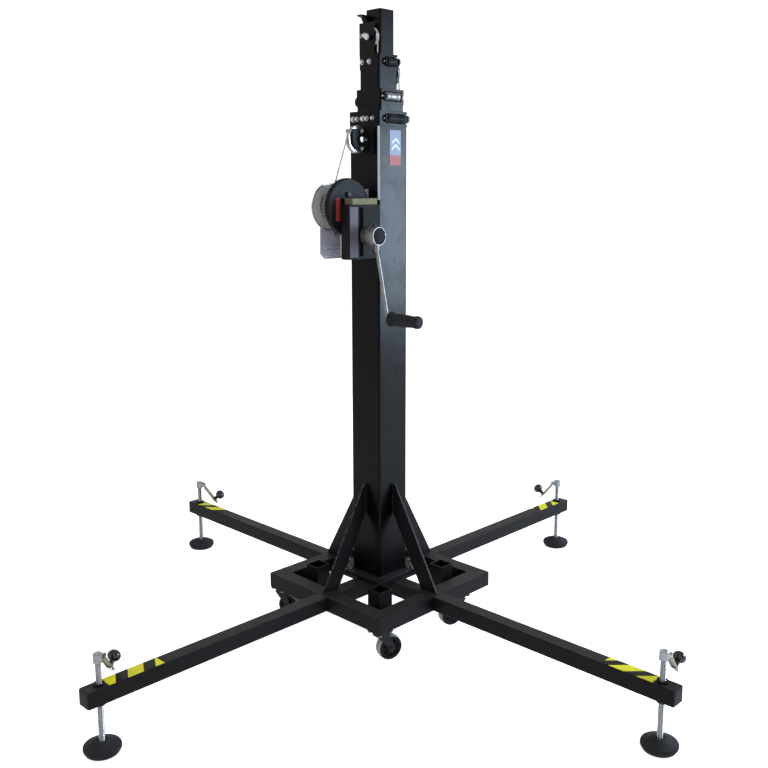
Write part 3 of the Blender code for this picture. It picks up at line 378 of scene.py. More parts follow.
def rounded(half_x, half_y, radius):
    """Outline of a rectangle with round corners."""
    corners = ((1, 1, 0), (-1, 1, 90), (-1, -1, 180), (1, -1, 270))
    outline = []
    for sx, sy, start in corners:
        centre = (sx * (half_x - radius), sy * (half_y - radius))
        outline += arc(centre, radius, start, start + 90, 5)
    return outline


def moved(shape, matrix):
    points, faces = shape
    return [matrix @ p for p in points], faces


def at(shape, place, axis=Z, spin=0.0):
    """The shape with its +Z along axis and its origin at place, first turned by spin degrees."""
    turn = Z.rotation_difference(Vector(axis)).to_matrix().to_4x4()
    spun = Matrix.Rotation(math.radians(spin), 4, "Z")
    return moved(shape, Matrix.Translation(Vector(place)) @ turn @ spun)


def frames(path):
    """A right-angled pair of side vectors at each point of a path, carried along it."""
    path = [Vector(p) for p in path]
    ends = [path[0], *path, path[-1]]
    tangents = [(after - before).normalized() for before, after in zip(ends, ends[2:])]
    side = tangents[0].orthogonal().normalized()
    found = []
    for tangent in tangents:
        side = (side - tangent * side.dot(tangent)).normalized()
        found.append((side, tangent.cross(side)))
    return path, found


def sweep(path, radius, sides=12, lobes=0, depth=0.0, lay=0.03):
    """Round bar along a path. With lobes it is a stranded cable, laid once per lay metres."""
    path, sides_of = frames(path)
    points, faces, gone = [], [], 0.0
    for k, (centre, (u, v)) in enumerate(zip(path, sides_of)):
        gone += (centre - path[k - 1]).length if k else 0.0
        for i in range(sides):
            angle = 2 * math.pi * i / sides
            reach = radius - depth * (0.5 - 0.5 * math.cos(lobes * angle)) if lobes else radius
            turn = angle + (2 * math.pi * gone / lay if lobes else 0.0)
            points.append(centre + (u * math.cos(turn) + v * math.sin(turn)) * reach)
    for k in range(len(path) - 1):
        for i in range(sides):
            j = (i + 1) % sides
            low, high = k * sides, (k + 1) * sides
            faces.append([low + i, low + j, high + j, high + i])
    faces += [list(range(sides))[::-1], [len(points) - sides + i for i in range(sides)]]
    return points, faces


def spread_path(points, step):
    """The same broken line with points added about every step metres."""
    points = [Vector(p) for p in points]
    out = [points[0]]
    for a, b in zip(points, points[1:]):
        count = max(1, round((b - a).length / step))
        out += [a.lerp(b, i / count) for i in range(1, count + 1)]
    return out


def hex_bolt(radius, height, washer=True):
    """Hexagon head on a washer, standing on its origin along +Z, with its radius at the corners."""
    base = 0.0012 if washer else 0.0
    ring = [(radius * math.cos(math.radians(60 * i)), radius * math.sin(math.radians(60 * i)))
            for i in range(6)]
    points, faces = prism(ring, base, base + height * 0.85)
    points += [Vector((x * 0.88, y * 0.88, base + height)) for x, y in ring]
    faces = [face for face in faces if face != list(range(6, 12))]
    faces += [[6 + i, 6 + (i + 1) % 6, 12 + (i + 1) % 6, 12 + i] for i in range(6)]
    faces.append(list(range(12, 18)))
    shapes = [(points, faces)]
    if washer:
        wide = radius * 1.25
        top = base + 0.0001
        ring = [(0, 0), (wide, 0), (wide, base * 0.8), (wide - 0.0004, top), (0, top)]
        shapes.append(lathe(ring, 24))
    return merged(shapes)


def socket_screw(radius, height):
    """Round screw head with a hexagon socket, along +Z."""
    hole = radius * 0.52
    profile = [(0, 0), (radius, 0), (radius, height * 0.8), (radius * 0.9, height), (hole, height),
               (hole * 0.95, height * 0.45), (0, height * 0.4)]
    return lathe(profile, 18)


def merged(shapes):
    points, faces = [], []
    for more_points, more_faces in shapes:
        start = len(points)
        points += more_points
        faces += [[start + i for i in face] for face in more_faces]
    return points, faces


def thread(radius, depth, pitch, low, high, sides=20, per_turn=6):
    """Threaded rod about Z from low to high, with tapered ends."""
    rows = int((high - low) / pitch * per_turn)
    points, faces = [], []
    for k in range(rows + 1):
        z = low + (high - low) * k / rows
        for i in range(sides):
            angle = 2 * math.pi * i / sides
            phase = (z / pitch - i / sides) % 1.0
            wave = min(1.0, max(0.0, abs(phase - 0.5) * 4 - 0.5))
            reach = radius - depth * (1.0 if k in (0, rows) else wave)
            points.append(Vector((reach * math.cos(angle), reach * math.sin(angle), z)))
    for k in range(rows):
        for i in range(sides):
            j = (i + 1) % sides
            row, after = k * sides, (k + 1) * sides
            faces.append([row + i, row + j, after + j, after + i])
    faces += [list(range(sides))[::-1], [rows * sides + i for i in range(sides)]]
    return points, faces


# ----------------------------------------------------------------------------- placing pieces
def soften(bm, width, segments, angle=35):
    """Rounds every edge sharper than angle degrees."""
    bmesh.ops.dissolve_limit(bm, angle_limit=math.radians(0.5), verts=bm.verts, edges=bm.edges)
    sharp = [
        e for e in bm.edges
        if len(e.link_faces) == 2 and e.calc_face_angle(0.0) > math.radians(angle)
    ]
    bmesh.ops.bevel(
        bm, geom=sharp, offset=width, offset_type="OFFSET", segments=segments, profile=0.5,
        affect="EDGES", clamp_overlap=True,
    )


def object_from(name, bm, material, smooth=35, weighted=False):
    bmesh.ops.remove_doubles(bm, verts=bm.verts, dist=1e-6)
    bmesh.ops.recalc_face_normals(bm, faces=bm.faces)
    mesh = bpy.data.meshes.new(name)
    bm.to_mesh(mesh)
    bm.free()
    mesh.shade_smooth()
    mesh.set_sharp_from_angle(angle=math.radians(smooth))
    mesh.materials.append(material)
    obj = bpy.data.objects.new(name, mesh)
    bpy.context.scene.collection.objects.link(obj)
    if weighted:
        modifier = obj.modifiers.new("flat_faces", "WEIGHTED_NORMAL")
        modifier.keep_sharp = True
        modifier.weight = 80
    return obj


def settle(obj, body, replaces=()):
    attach(obj, body)
    if replaces:
        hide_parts(*replaces)
    return obj


def make(name, shapes, material, body, replaces=(), edge=0.0, smooth=35):
    """One piece from a shape or a list of shapes, with its edges rounded by edge metres."""
    points, faces = merged(shapes if isinstance(shapes, list) else [shapes])
    bm = bmesh.new()
    verts = [bm.verts.new(p) for p in points]
    for face in faces:
        bm.faces.new([verts[i] for i in face])
    bmesh.ops.remove_doubles(bm, verts=bm.verts, dist=1e-6)
    bmesh.ops.recalc_face_normals(bm, faces=bm.faces)
    if edge:
        soften(bm, edge, 2)
    obj = object_from(name, bm, material, smooth, weighted=edge > 0)
    return settle(obj, body, replaces)


def refine(node, material, edge, segments=2):
    """A copy of a CAD node with rounded edges, which stands for it."""
    source = frame["nodes"][node]
    bm = bmesh.new()
    bm.from_mesh(source.data)
    bmesh.ops.remove_doubles(bm, verts=bm.verts, dist=2e-6)
    soften(bm, edge, segments)
    obj = object_from(node + "_skin", bm, material, weighted=True)
    return settle(obj, source["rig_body"], [node])


# ------------------------------------------------------------------------------- camera, light
def set_camera():
    """The photograph's camera, fitted to the stand."""
    data = bpy.data.cameras.new("camera")
    data.sensor_width = 36
    data.lens = 44.884
    data.shift_x = 0.00647
    data.shift_y = -0.04055
    camera = bpy.data.objects.new("camera", data)
    bpy.context.scene.collection.objects.link(camera)
    azimuth, pitch, roll = math.radians(44.727), math.radians(9.7505), math.radians(-0.1445)
    level_reach = math.cos(pitch)
    ahead = Vector((-math.sin(azimuth) * level_reach, math.cos(azimuth) * level_reach,
                    -math.sin(pitch)))
    level = ahead.cross(Z).normalized()
    upward = level.cross(ahead)
    right = level * math.cos(roll) + upward * math.sin(roll)
    up = -level * math.sin(roll) + upward * math.cos(roll)
    turn = Matrix((right, up, -ahead)).transposed().to_4x4()
    camera.matrix_world = Matrix.Translation((2.0653, -2.0851, 1.4074)) @ turn
    bpy.context.scene.camera = camera


def area_light(name, place, target, size, power, colour=(1, 1, 1)):
    data = bpy.data.lights.new(name, "AREA")
    data.shape = "RECTANGLE"
    data.size, data.size_y = size
    data.energy = power
    data.color = colour
    lamp = bpy.data.objects.new(name, data)
    lamp.location = place
    lamp.rotation_euler = (Vector(target) - Vector(place)).to_track_quat("-Z", "Y").to_euler()
    bpy.context.scene.collection.objects.link(lamp)


def stage_white(name, base, emission):
    """White that glows a little, so the stage stays pale where the lamps don't reach."""
    material = bpy.data.materials.new(name)
    material.use_nodes = True
    shader = material.node_tree.nodes["Principled BSDF"]
    shader.inputs["Base Color"].default_value = (base, base, base, 1)
    shader.inputs["Emission Color"].default_value = (1.0, 1.0, 1.0, 1)
    shader.inputs["Emission Strength"].default_value = emission
    shader.inputs["Roughness"].default_value = 0.9
    shader.inputs["Specular IOR Level"].default_value = 0.1
    return material


def set_stage():
    """Round pale floor that curves up into a far wall, and soft light from around and above."""
    inner, flat, bend, height = 3.5, 18.0, 6.0, 22.0
    curve = arc((flat, bend), bend, -90, 0, 12)
    bm = bmesh.new()
    points, faces = lathe([(0, -0.0005), (inner, -0.0005), *curve, (flat + bend, height)], 96)
    verts = [bm.verts.new(p) for p in points]
    for face in faces:
        made = bm.faces.new([verts[i] for i in face])
        made.material_index = int(made.calc_center_median().to_2d().length > inner)
    mesh = bpy.data.meshes.new("studio_floor")
    bm.to_mesh(mesh)
    bm.free()
    mesh.shade_smooth()
    floor = bpy.data.objects.new("studio_floor", mesh)
    bpy.context.scene.collection.objects.link(floor)
    mesh.materials.append(stage_white("studio_floor_white", 0.80, 0.62))
    mesh.materials.append(stage_white("studio_wall_white", 0.30, 1.00))
    world = bpy.data.worlds.new("studio")
    world.use_nodes = True
    world.node_tree.nodes["Background"].inputs[0].default_value = (0.97, 0.985, 1.0, 1)
    world.node_tree.nodes["Background"].inputs[1].default_value = 0.35
    bpy.context.scene.world = world
    bpy.context.scene.view_settings.view_transform = "Standard"
    area_light("key", (3.2, -3.6, 4.2), (0, 0, 0.8), (2.6, 2.6), 40)
    area_light("window", (2.50, 2.55, 1.32), (0, 0, 1.32), (1.3, 1.46), 240, (0.62, 0.80, 1.0))
    area_light("fill", (-3.6, -2.2, 3.4), (0, 0, 0.8), (2.4, 2.4), 22)
    area_light("top", (0, 0, 5.5), (0, 0, 0), (4.5, 4.5), 75)


# ------------------------------------------------------------------------------- outriggers
def heading_vector(degrees):
    """Level unit vector, with its heading counted from +X towards +Y."""
    return Vector((math.cos(math.radians(degrees)), math.sin(math.radians(degrees)), 0))


def jack_screw(letter):
    """Threaded rod with its head, the two ears and the lever's pin."""
    heading = LEVERS[letter][0]
    jack = DIRECTIONS[letter] * JACK_REACH
    turn = Matrix.Translation(jack) @ Matrix.Rotation(math.radians(heading), 4, "Z")
    rod = thread(SCREW_RADIUS, 0.0011, THREAD_PITCH, 0.0126, 0.2445)
    head = lathe([(0, 0.2430), (0.0108, 0.2430), (0.0120, 0.2440), (0.0120, 0.2660),
                  (0.0105, 0.2680), (0.0045, 0.2680), (0.0040, 0.2672), (0, 0.2672)], 40)
    outline = [(0.004, PIVOT_HEIGHT - 0.0072)]
    outline += arc((PIVOT_REACH, PIVOT_HEIGHT), 0.0058, -90, 90, 10)
    outline += [(0.004, PIVOT_HEIGHT + 0.0072)]
    upright = Matrix(((1, 0, 0, 0), (0, 0, 1, 0), (0, 1, 0, 0), (0, 0, 0, 1)))
    ears = []
    for side in (-1, 1):
        low, high = sorted((side * 0.0085, side * 0.0117))
        ears.append(moved(prism(outline, low, high), upright))
    pin = at(lathe([(0, -0.0138), (0.0028, -0.0138), (0.0032, -0.0130), (0.0032, -0.0119),
                    (0.0022, -0.0119), (0.0022, 0.0119), (0.0034, 0.0119), (0.0034, 0.0130),
                    (0.0026, 0.0138), (0, 0.0138)], 20), (PIVOT_REACH, 0, PIVOT_HEIGHT), Y)
    shapes = [moved(shape, turn) for shape in (rod, head, *ears, pin)]
    make(f"jack_thread_{letter}", shapes, SCREW_ZINC, f"jack_screw_{letter}",
         [f"jack_screw_{letter}"])


def jack_pad(letter):
    """Domed rubber foot with steps in its dome and a ribbed rim."""
    profile = [(0, 0.0), (0.0405, 0.0), (0.0425, 0.0012), (0.0472, 0.0090), (0.0480, 0.0115),
               (0.0480, 0.0185), (0.0468, 0.0210), (0.0440, 0.0222), (0.0425, 0.0222),
               (0.0415, 0.0236), (0.0345, 0.0266), (0.0335, 0.0260), (0.0325, 0.0272),
               (0.0240, 0.0312), (0.0228, 0.0308), (0.0215, 0.0322), (0.0180, 0.0336),
               (0.0160, 0.0342), (0.0100, 0.0342), (0.0088, 0.0334), (0.0088, 0.0125), (0, 0.0125)]
    shapes = [lathe(profile, 64)]
    rib = block((0.0472, -0.0011, 0.0110), (0.0486, 0.0011, 0.0180))
    ribs = 32
    for i in range(ribs):
        shapes.append(moved(rib, Matrix.Rotation(math.radians(360 * i / ribs), 4, "Z")))
    jack = DIRECTIONS[letter] * JACK_REACH
    shapes = [at(shape, jack) for shape in shapes]
    make(f"jack_foot_{letter}", shapes, RUBBER, f"jack_foot_{letter}",
         [f"jack_pad_{letter}"])


def jack_lever(letter):
    """Folding lever with a rolled eye and turned-down edges, and its ball knob."""
    heading, slope = LEVERS[letter]
    pivot = DIRECTIONS[letter] * JACK_REACH
    pivot = pivot + heading_vector(heading) * PIVOT_REACH + Z * PIVOT_HEIGHT
    place = (
        Matrix.Translation(pivot)
        @ Matrix.Rotation(math.radians(heading), 4, "Z")
        @ Matrix.Rotation(math.radians(slope), 4, "Y")
    )
    body = f"jack_lever_{letter}"
    eye = at(lathe([(0.0028, -0.0080), (0.0044, -0.0080), (0.0050, -0.0074), (0.0050, 0.0074),
                    (0.0044, 0.0080), (0.0028, 0.0080), (0.0028, -0.0080)], 32), (0, 0, 0), Y)
    outline = [(0.003, -0.0080), (0.080, -0.0080), *arc((0.082, 0.0), 0.0080, -80, 80, 8),
               (0.080, 0.0080), (0.003, 0.0080)]
    bar = prism(outline, -0.0020, 0.0020)
    lips = []
    for side in (-1, 1):
        y = side * 0.0070
        lips.append(block((0.010, y - 0.0010, -0.0042), (0.078, y + 0.0010, -0.0015)))
    make(body + "_plate", [moved(s, place) for s in (bar, *lips)], YELLOW_ZINC, body,
         [body], edge=0.0006)
    make(body + "_eye", moved(eye, place), YELLOW_ZINC, body)
    ball = [(0, 0.0455)]
    for i in range(1, 17):
        angle = math.radians(90 - 150 * i / 16)
        ball.append((0.018 * math.cos(angle), 0.030 + 0.0155 * math.sin(angle)))
    ball += [(0.0072, 0.0150), (0.0068, 0.0060), (0.0080, 0.0045), (0.0080, 0.0023), (0, 0.0023)]
    make(body + "_knob", moved(at(lathe(ball, 40), (0.070, 0, 0)), place), GLOSS, body,
         [f"lever_knob_{letter}"])
    nut = at(hex_bolt(0.0068, 0.0035, washer=False), (0.070, 0, -0.0022), -Z)
    make(body + "_knob_nut", moved(nut, place), ZINC, body)


def tape_material(letter):
    """Slanted yellow and black stripes, with the slant in which each tape was laid."""
    slant, period, start = STRIPES[letter]
    return striped(f"hazard_tape_{letter}", (0.47, 0.44, 0.012), (0.0040, 0.0040, 0.0046),
                   tuple(slant.normalized()), period, 0.565, 0.38, start)


def beam_trim(letter):
    """End cap, hazard tape and the jack's two nuts on one outrigger."""
    along = DIRECTIONS[letter]
    aside = Z.cross(along)
    basis = Matrix((along, aside, Z)).transposed().to_4x4()
    body = f"outrigger_{letter}"
    middle = BEAM_TOP - 0.0225
    upright = Matrix(((0, 0, 1, 0), (1, 0, 0, 0), (0, 1, 0, middle), (0, 0, 0, 1)))
    cap = moved(prism(rounded(0.0222, 0.0217, 0.004), 1.0395, 1.0440), upright)
    plug = moved(prism(rounded(0.0195, 0.0190, 0.003), 1.0200, 1.0400), upright)
    rim = moved(prism(rounded(0.0165, 0.0160, 0.003), 1.0438, 1.0450), upright)
    make(f"end_cap_{letter}", [moved(s, basis) for s in (cap, plug, rim)], PLASTIC, body,
         edge=0.0008)
    strip = block((TAPE_START[letter], -0.0205, BEAM_TOP + 0.0001),
                  (0.983, 0.0205, BEAM_TOP + 0.0005))
    make(f"hazard_tape_{letter}", moved(strip, basis), tape_material(letter), body)
    hole = SCREW_RADIUS + 0.0008
    nut = lathe([(hole, 0.1890), (0.0135, 0.1890), (0.0150, 0.1878), (0.0150, 0.1832),
                 (hole, 0.1832), (hole, 0.1890)], 6)
    under = moved(nut, Matrix.Translation((0, 0, 0.321)) @ Matrix.Scale(-1, 4, Z))
    spots = [at(s, along * JACK_REACH, spin=15) for s in (nut, under)]
    make(f"jack_nut_{letter}", spots, PAINT, body, edge=0.0005)


def outriggers():
    for letter in DIRECTIONS:
        refine(f"outrigger_beam_{letter}", PAINT, 0.0022, 3)
        jack_screw(letter)
        jack_pad(letter)
        jack_lever(letter)
        beam_trim(letter)


# -------------------------------------------------------------------------------- base
def weld(path, radius=0.0028):
    """Weld bead: a bar along the path that swells and shrinks in even ripples."""
    path = spread_path(path, 0.0012)
    points, faces = sweep(path, radius, 8)
    for k in range(len(path)):
        factor = 1 + 0.16 * math.sin(k * 1.7)
        for i in range(8):
            index = k * 8 + i
            points[index] = path[k] + (points[index] - path[k]) * factor
    return points, faces


def base():
    """Base frame and foot plate with their bolts, and the braces, with the weld beads of both."""
    refine("base_frame", PAINT, 0.0016, 2)
    refine("foot_plate", PAINT, 0.0012, 2)
    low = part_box("foot_plate")[1].z
    reach, half = 0.0735, 0.0615  # of the plate's bolts and of its weld round the mast
    studs, nuts, bolts = [], [], []
    for sx, sy in ((-1, -1), (1, 1)):
        spot = Vector((sx * reach, sy * reach, low))
        studs.append(at(thread(0.0050, 0.0007, 0.0015, 0.0, 0.050, 16), spot))
        nuts.append(at(hex_bolt(0.0100, 0.0080), spot))
        nuts.append(at(hex_bolt(0.0100, 0.0080, washer=False), spot + Z * 0.022, spin=20))
    make("foot_studs", studs, DULL_ZINC, "base")
    make("foot_nuts", nuts, DULL_ZINC, "base", edge=0.0004)
    for sx, sy in ((1, -1), (-1, 1)):
        spot = Vector((sx * reach, sy * reach, low))
        bolts.append(at(hex_bolt(0.0085, 0.0055), spot, spin=12))
    make("foot_bolts", bolts, PAINT, "base", edge=0.0004)
    corners = [Vector((sx * half, sy * half, low + 0.0006))
               for sx, sy in ((1, -1), (1, 1), (-1, 1), (-1, -1), (1, -1))]
    make("foot_weld", weld(corners), PAINT, "base")
    # Reach and height of both ends of a brace's beads, on the mast and on the base
    runs = (((0.0616, 0.407), (0.0616, 0.492)), ((0.205, 0.1838), (0.243, 0.1838)))
    for letter, along in DIRECTIONS.items():
        # The brace plates take the paint with painted edge highlights.
        refine(f"brace_{letter}", HIGHLIGHT_EDGED_PAINT, 0.0010, 2)
        aside = Z.cross(along)
        lines = []
        for side in (-1, 1):
            offset = aside * (side * 0.0036)
            for run in runs:
                lines.append(weld([along * out + offset + Z * up for out, up in run], 0.0018))
        make(f"brace_weld_{letter}", lines, PAINT, "base")


def casters():
    for letter, trail in WHEELS.items():
        refine(f"caster_plate_{letter}", PAINT, 0.0006, 2)
        refine(f"caster_fork_{letter}", FORK_GREY, 0.0006, 2)
        low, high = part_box(f"caster_wheel_{letter}")
        caster_wheel(letter, (low + high) / 2, heading_vector(trail + 90))
        plate_low, plate_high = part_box(f"caster_plate_{letter}")
        middle = (plate_low + plate_high) / 2
        bolts = [at(hex_bolt(0.0058, 0.0036, washer=False),
                    (middle.x + sx * 0.0220, middle.y + sy * 0.0220, plate_high.z - 0.0040), -Z, 15)
                 for sx in (-1, 1) for sy in (-1, 1)]
        make(f"caster_bolts_{letter}", bolts, DULL_ZINC, "base")


def caster_wheel(letter, centre, axle):
    """Grey tread on a dark moulded disc with webs, and the fork's axle nuts."""
    half = 0.0150
    body = f"caster_wheel_{letter}"
    tyre = [(0.0352, -half + 0.0022), (0.0368, -half + 0.0030), (0.0377, -0.0060),
            (0.0380, -0.0020), (0.0380, 0.0020), (0.0377, 0.0060), (0.0368, half - 0.0030),
            (0.0352, half - 0.0022), (0.0352, -half + 0.0022)]
    make(f"tyre_{letter}", at(lathe(tyre, 56), centre, axle), TREAD, body, [body])
    side = [(0.0046, half), (0.0110, half), (0.0118, half - 0.0010), (0.0125, half - 0.0050),
            (0.0235, half - 0.0055), (0.0262, half - 0.0012), (0.0300, half - 0.0004),
            (0.0345, half - 0.0012), (0.0352, half - 0.0024)]
    shapes = [at(lathe(mirrored(side), 48), centre, axle)]
    web = block((0.0120, -0.0010, 0.0), (0.0255, 0.0010, 0.0045))
    for way in (-1, 1):
        for i in range(6):
            turned = moved(web, Matrix.Rotation(math.radians(60 * i), 4, "Z"))
            shapes.append(at(turned, centre + axle * way * 0.0090, axle * way))
    make(f"wheel_disc_{letter}", shapes, PLASTIC, body)
    caps = [at(hex_bolt(0.0062, 0.0036, washer=False), centre + axle * way * 0.0200, axle * way)
            for way in (-1, 1)]
    make(f"axle_nuts_{letter}", caps, FORK_GREY, f"caster_fork_{letter}")


# -------------------------------------------------------------------------------- mast
def mast():
    """Mast tube and sections, the cap, a painted highlight strip on the near corner and the plain
    label.
    """
    refine("mast_outer", MAST_PAINT, 0.0016, 3)
    for number in (2, 3, 4):
        refine(f"mast_section_{number}", MAST_PAINT, 0.0012, 2)
    refine("top_cap", PLASTIC, 0.0010, 2)
    # Pale grey strip along the mast's near corner: a painted highlight standing for the sheen on
    # the rounded corner.
    corner = (MAST_HALF - 0.006, -MAST_HALF + 0.006)
    ring = arc(corner, 0.0066, -75, -15, 8) + arc(corner, 0.0062, -15, -75, 8)
    make("painted_corner_highlight", prism(ring, 1.3740, 1.5860), FRAME_GREY, "base")
    sticker_x = 0.0613
    films = (("upper", 1.5035, 1.5765, STICKER), ("lower", 1.4740, 1.5033, STICKER_RED))
    for name, bottom, top, material in films:
        film = block((sticker_x, -0.0150, bottom), (sticker_x + 0.0004, 0.0320, top))
        make(f"mast_sticker_{name}", film, material, "base")
    upright = Matrix(((0, 0, 1, 0), (1, 0, 0, 0), (0, 1, 0, 0), (0, 0, 0, 1)))
    marks = []
    for z in (1.5170, 1.5350):
        outline = [(-0.0060, z), (0.0100, z + 0.0130), (0.0260, z), (0.0260, z + 0.0070),
                   (0.0100, z + 0.0200), (-0.0060, z + 0.0070)]
        marks.append(moved(prism(outline, sticker_x + 0.0003, sticker_x + 0.0006), upright))
    make("mast_sticker_marks", marks, STICKER_WHITE, "base")


def guide_roller(number, body, material, ring_material):
    """Waisted roller with its steel axle, and an end wheel with a rim."""
    low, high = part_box(f"guide_roller_{number}")
    x, z = (low.x + high.x) / 2, (low.z + high.z) / 2
    ear = (high.y - low.y - 0.0125) / 2
    centre = Vector((x, high.y - 0.0085 - ear, z))
    half = ear - 0.0040 - 0.0025
    barrel = [(0.0040, -half), (0.0115, -half), (0.0125, -half + 0.0015), (0.0125, -half * 0.55),
              (0.0118, -half * 0.5), (0.0118, half * 0.5), (0.0125, half * 0.55),
              (0.0125, half - 0.0015), (0.0115, half), (0.0040, half), (0.0040, -half)]
    make(f"roller_barrel_{number}", at(lathe(barrel, 40), centre, Y), material, body,
         [f"guide_roller_{number}"])
    end = ear + 0.0085
    axle = [(0, -ear - 0.0040), (0.0034, -ear - 0.0040), (0.0040, -ear - 0.0034),
            (0.0040, end - 0.001), (0, end - 0.001)]
    disc = [(0.0035, ear + 0.0010), (0.0112, ear + 0.0010), (0.0120, ear + 0.0018),
            (0.0120, ear + 0.0060), (0.0108, ear + 0.0075), (0.0080, ear + 0.0078),
            (0.0072, ear + 0.0085), (0, ear + 0.0085)]
    make(f"roller_axle_{number}", at(lathe(axle, 20), centre, Y), ZINC, body)
    make(f"roller_wheel_{number}", at(lathe(disc, 36), centre, Y), ring_material, body)


def small_pulley(number):
    """Grooved pulley on the head of a telescopic section."""
    node = f"pulley_section_{number}"
    low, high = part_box(node)
    centre = (low + high) / 2
    radius = (high.x - low.x) / 2
    rope, width, hollow = radius - 0.0045, 0.0045, 0.0022
    turns = [math.radians(degrees) for degrees in (70, 110, 150, 180, 210, 250, 290)]
    groove = [(rope + hollow * math.cos(t) + hollow, hollow * math.sin(t)) for t in turns]
    half = [(0.0045, width), (0.0100, width), (0.0108, width - 0.0015),
            (radius - 0.010, width - 0.0015), (radius - 0.008, width), (radius - 0.0006, width),
            (radius, width - 0.0006)]
    wheel = at(lathe(mirrored(half, groove), 56), centre, Y)
    make(f"cable_pulley_{number}", wheel, ZINC, f"pulley_{number}", [node])


def head_bolts():
    """Bolts across the heads of the mast tube and section 3, and the knob on section 2."""
    row = ((-0.0430, 0.0066), (-0.0265, 0.0060), (-0.0030, 0.0066), (0.0135, 0.0060),
           (0.0385, 0.0050))
    shapes = [at(hex_bolt(radius, 0.0060), (x, -0.0625, 1.6090), -Y, 10) for x, radius in row]
    make("head_bolts_1", shapes, ZINC, "base", edge=0.0004)
    shapes = [at(hex_bolt(0.0062, 0.0055), (x, -0.0405, 1.7730), -Y, 10)
              for x in (-0.0270, 0.0040)]
    shapes += [at(hex_bolt(radius, 0.0050), (x, -0.0390, 1.8480), -Y, 10)
               for x, radius in ((-0.0340, 0.0050), (-0.0170, 0.0062))]
    shapes.append(at(hex_bolt(0.0072, 0.0030), (0.0, -0.0470, 1.8420), -Y, 0))
    make("head_bolts_3", shapes, ZINC, "section_3", edge=0.0004)
    knob = [(0, 0), (0.0060, 0), (0.0060, 0.0040), (0.0150, 0.0050), (0.0165, 0.0070),
            (0.0165, 0.0120), (0.0150, 0.0145), (0.0060, 0.0155), (0, 0.0155)]
    make("section_2_knob", at(lathe(knob, 36), (-0.0510, -0.0200, 1.6620), -X), PLASTIC,
         "section_2")


def head_pulley():
    """Grooved head pulley and the bolts of its bracket."""
    refine("head_pulley_bracket", PAINT, 0.0010, 2)
    rope, width, hollow = 0.0388, 0.008, 0.0028
    turns = [math.radians(degrees) for degrees in range(60, 301, 20)]
    groove = [(rope + hollow * math.cos(t) + 0.0003, hollow * math.sin(t)) for t in turns]
    half = [(0.0056, width), (0.0120, width), (0.0130, width - 0.0030), (0.0290, width - 0.0030),
            (0.0310, width), (0.0392, width), (0.0400, width - 0.0008)]
    wheel = at(lathe(mirrored(half, groove), 64), HEAD_AXIS, X)
    make("head_sheave", wheel, ZINC, "head_pulley", ["head_pulley"])
    bolts = []
    face = 0.0145
    places = ((0.006, 0.0235, 0.0050), (0.006, -0.0255, 0.0050), (0.0225, 0.0, 0.0042))
    for dy, dz, radius in places:
        for side in (-1, 1):
            spot = (side * face, HEAD_AXIS.y + dy, HEAD_AXIS.z + dz)
            bolts.append(at(hex_bolt(radius, 0.0045), spot, X * side, 8))
    for side in (-1, 1):
        spot = (side * 0.0210, HEAD_AXIS.y, HEAD_AXIS.z)
        bolts.append(at(hex_bolt(0.0072, 0.0022), spot, X * side, 0))
    make("head_bracket_bolts", bolts, ZINC, "base", edge=0.0004)


def pulley_strand(number):
    """The inner cable's short run from a section's pulley down into the tube."""
    low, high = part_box(f"pulley_section_{number}")
    x, y, z = high.x - 0.0024, (low.y + high.y) / 2, (low.z + high.z) / 2
    path = spread_path([(x, y, z), (x, y, z - 0.048)], 0.004)
    make(f"pulley_strand_{number}", sweep(path, 0.0022, 12, lobes=6, depth=0.0004), CABLE,
         f"section_{number}", smooth=60)


def cables():
    """Lift cable from the drum over the head pulley, and its run down inside the mast."""
    pulley = (HEAD_AXIS.y, HEAD_AXIS.z)
    winder = (DRUM_AXIS.y, DRUM_AXIS.z)
    on_pulley, on_drum = 0.0388, 0.0465  # the cable's distance from each axis
    dy, dz = winder[0] - pulley[0], winder[1] - pulley[1]
    angle = math.atan2(dz, dy) - math.acos((on_pulley - on_drum) / math.hypot(dy, dz))
    leave = math.degrees(angle) % 360
    foot = (winder[0] + on_drum * math.cos(angle), winder[1] + on_drum * math.sin(angle))
    top = pulley[1] - 0.030
    route = [foot, *arc(pulley, on_pulley, leave, 0, 40), (INNER_CABLE_Y, top)]
    path = spread_path([(0.0, y, z) for y, z in route], 0.0022)
    run = sweep(path, CABLE_RADIUS, 18, lobes=6, depth=0.0005, lay=0.036)
    make("lift_rope", run, CABLE, "base", ["lift_cable"], smooth=60)
    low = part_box("lift_cable_inner")[0].z
    inside = spread_path([(0, INNER_CABLE_Y, low), (0, INNER_CABLE_Y, top)], 0.006)
    run = sweep(inside, CABLE_RADIUS, 12, lobes=6, depth=0.0005, lay=0.036)
    strand = make("lift_rope_inner", run, CABLE, "base", ["lift_cable_inner"],
                  smooth=60)
    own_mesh(strand)


# -------------------------------------------------------------------------------- winch
def gear(teeth, module, width):
    """Straight-toothed gear wheel, a little thinner in its teeth than a true one."""
    radius = teeth * module / 2
    tip, root = radius + module, radius - 1.25 * module
    pitch = 2 * math.pi / teeth
    outline = []
    for tooth in range(teeth):
        for offset, reach in ((-0.36, root), (-0.13, tip), (0.13, tip), (0.36, root)):
            angle = (tooth + offset) * pitch
            outline.append((reach * math.cos(angle), reach * math.sin(angle)))
    return prism(outline, 0.0, width)


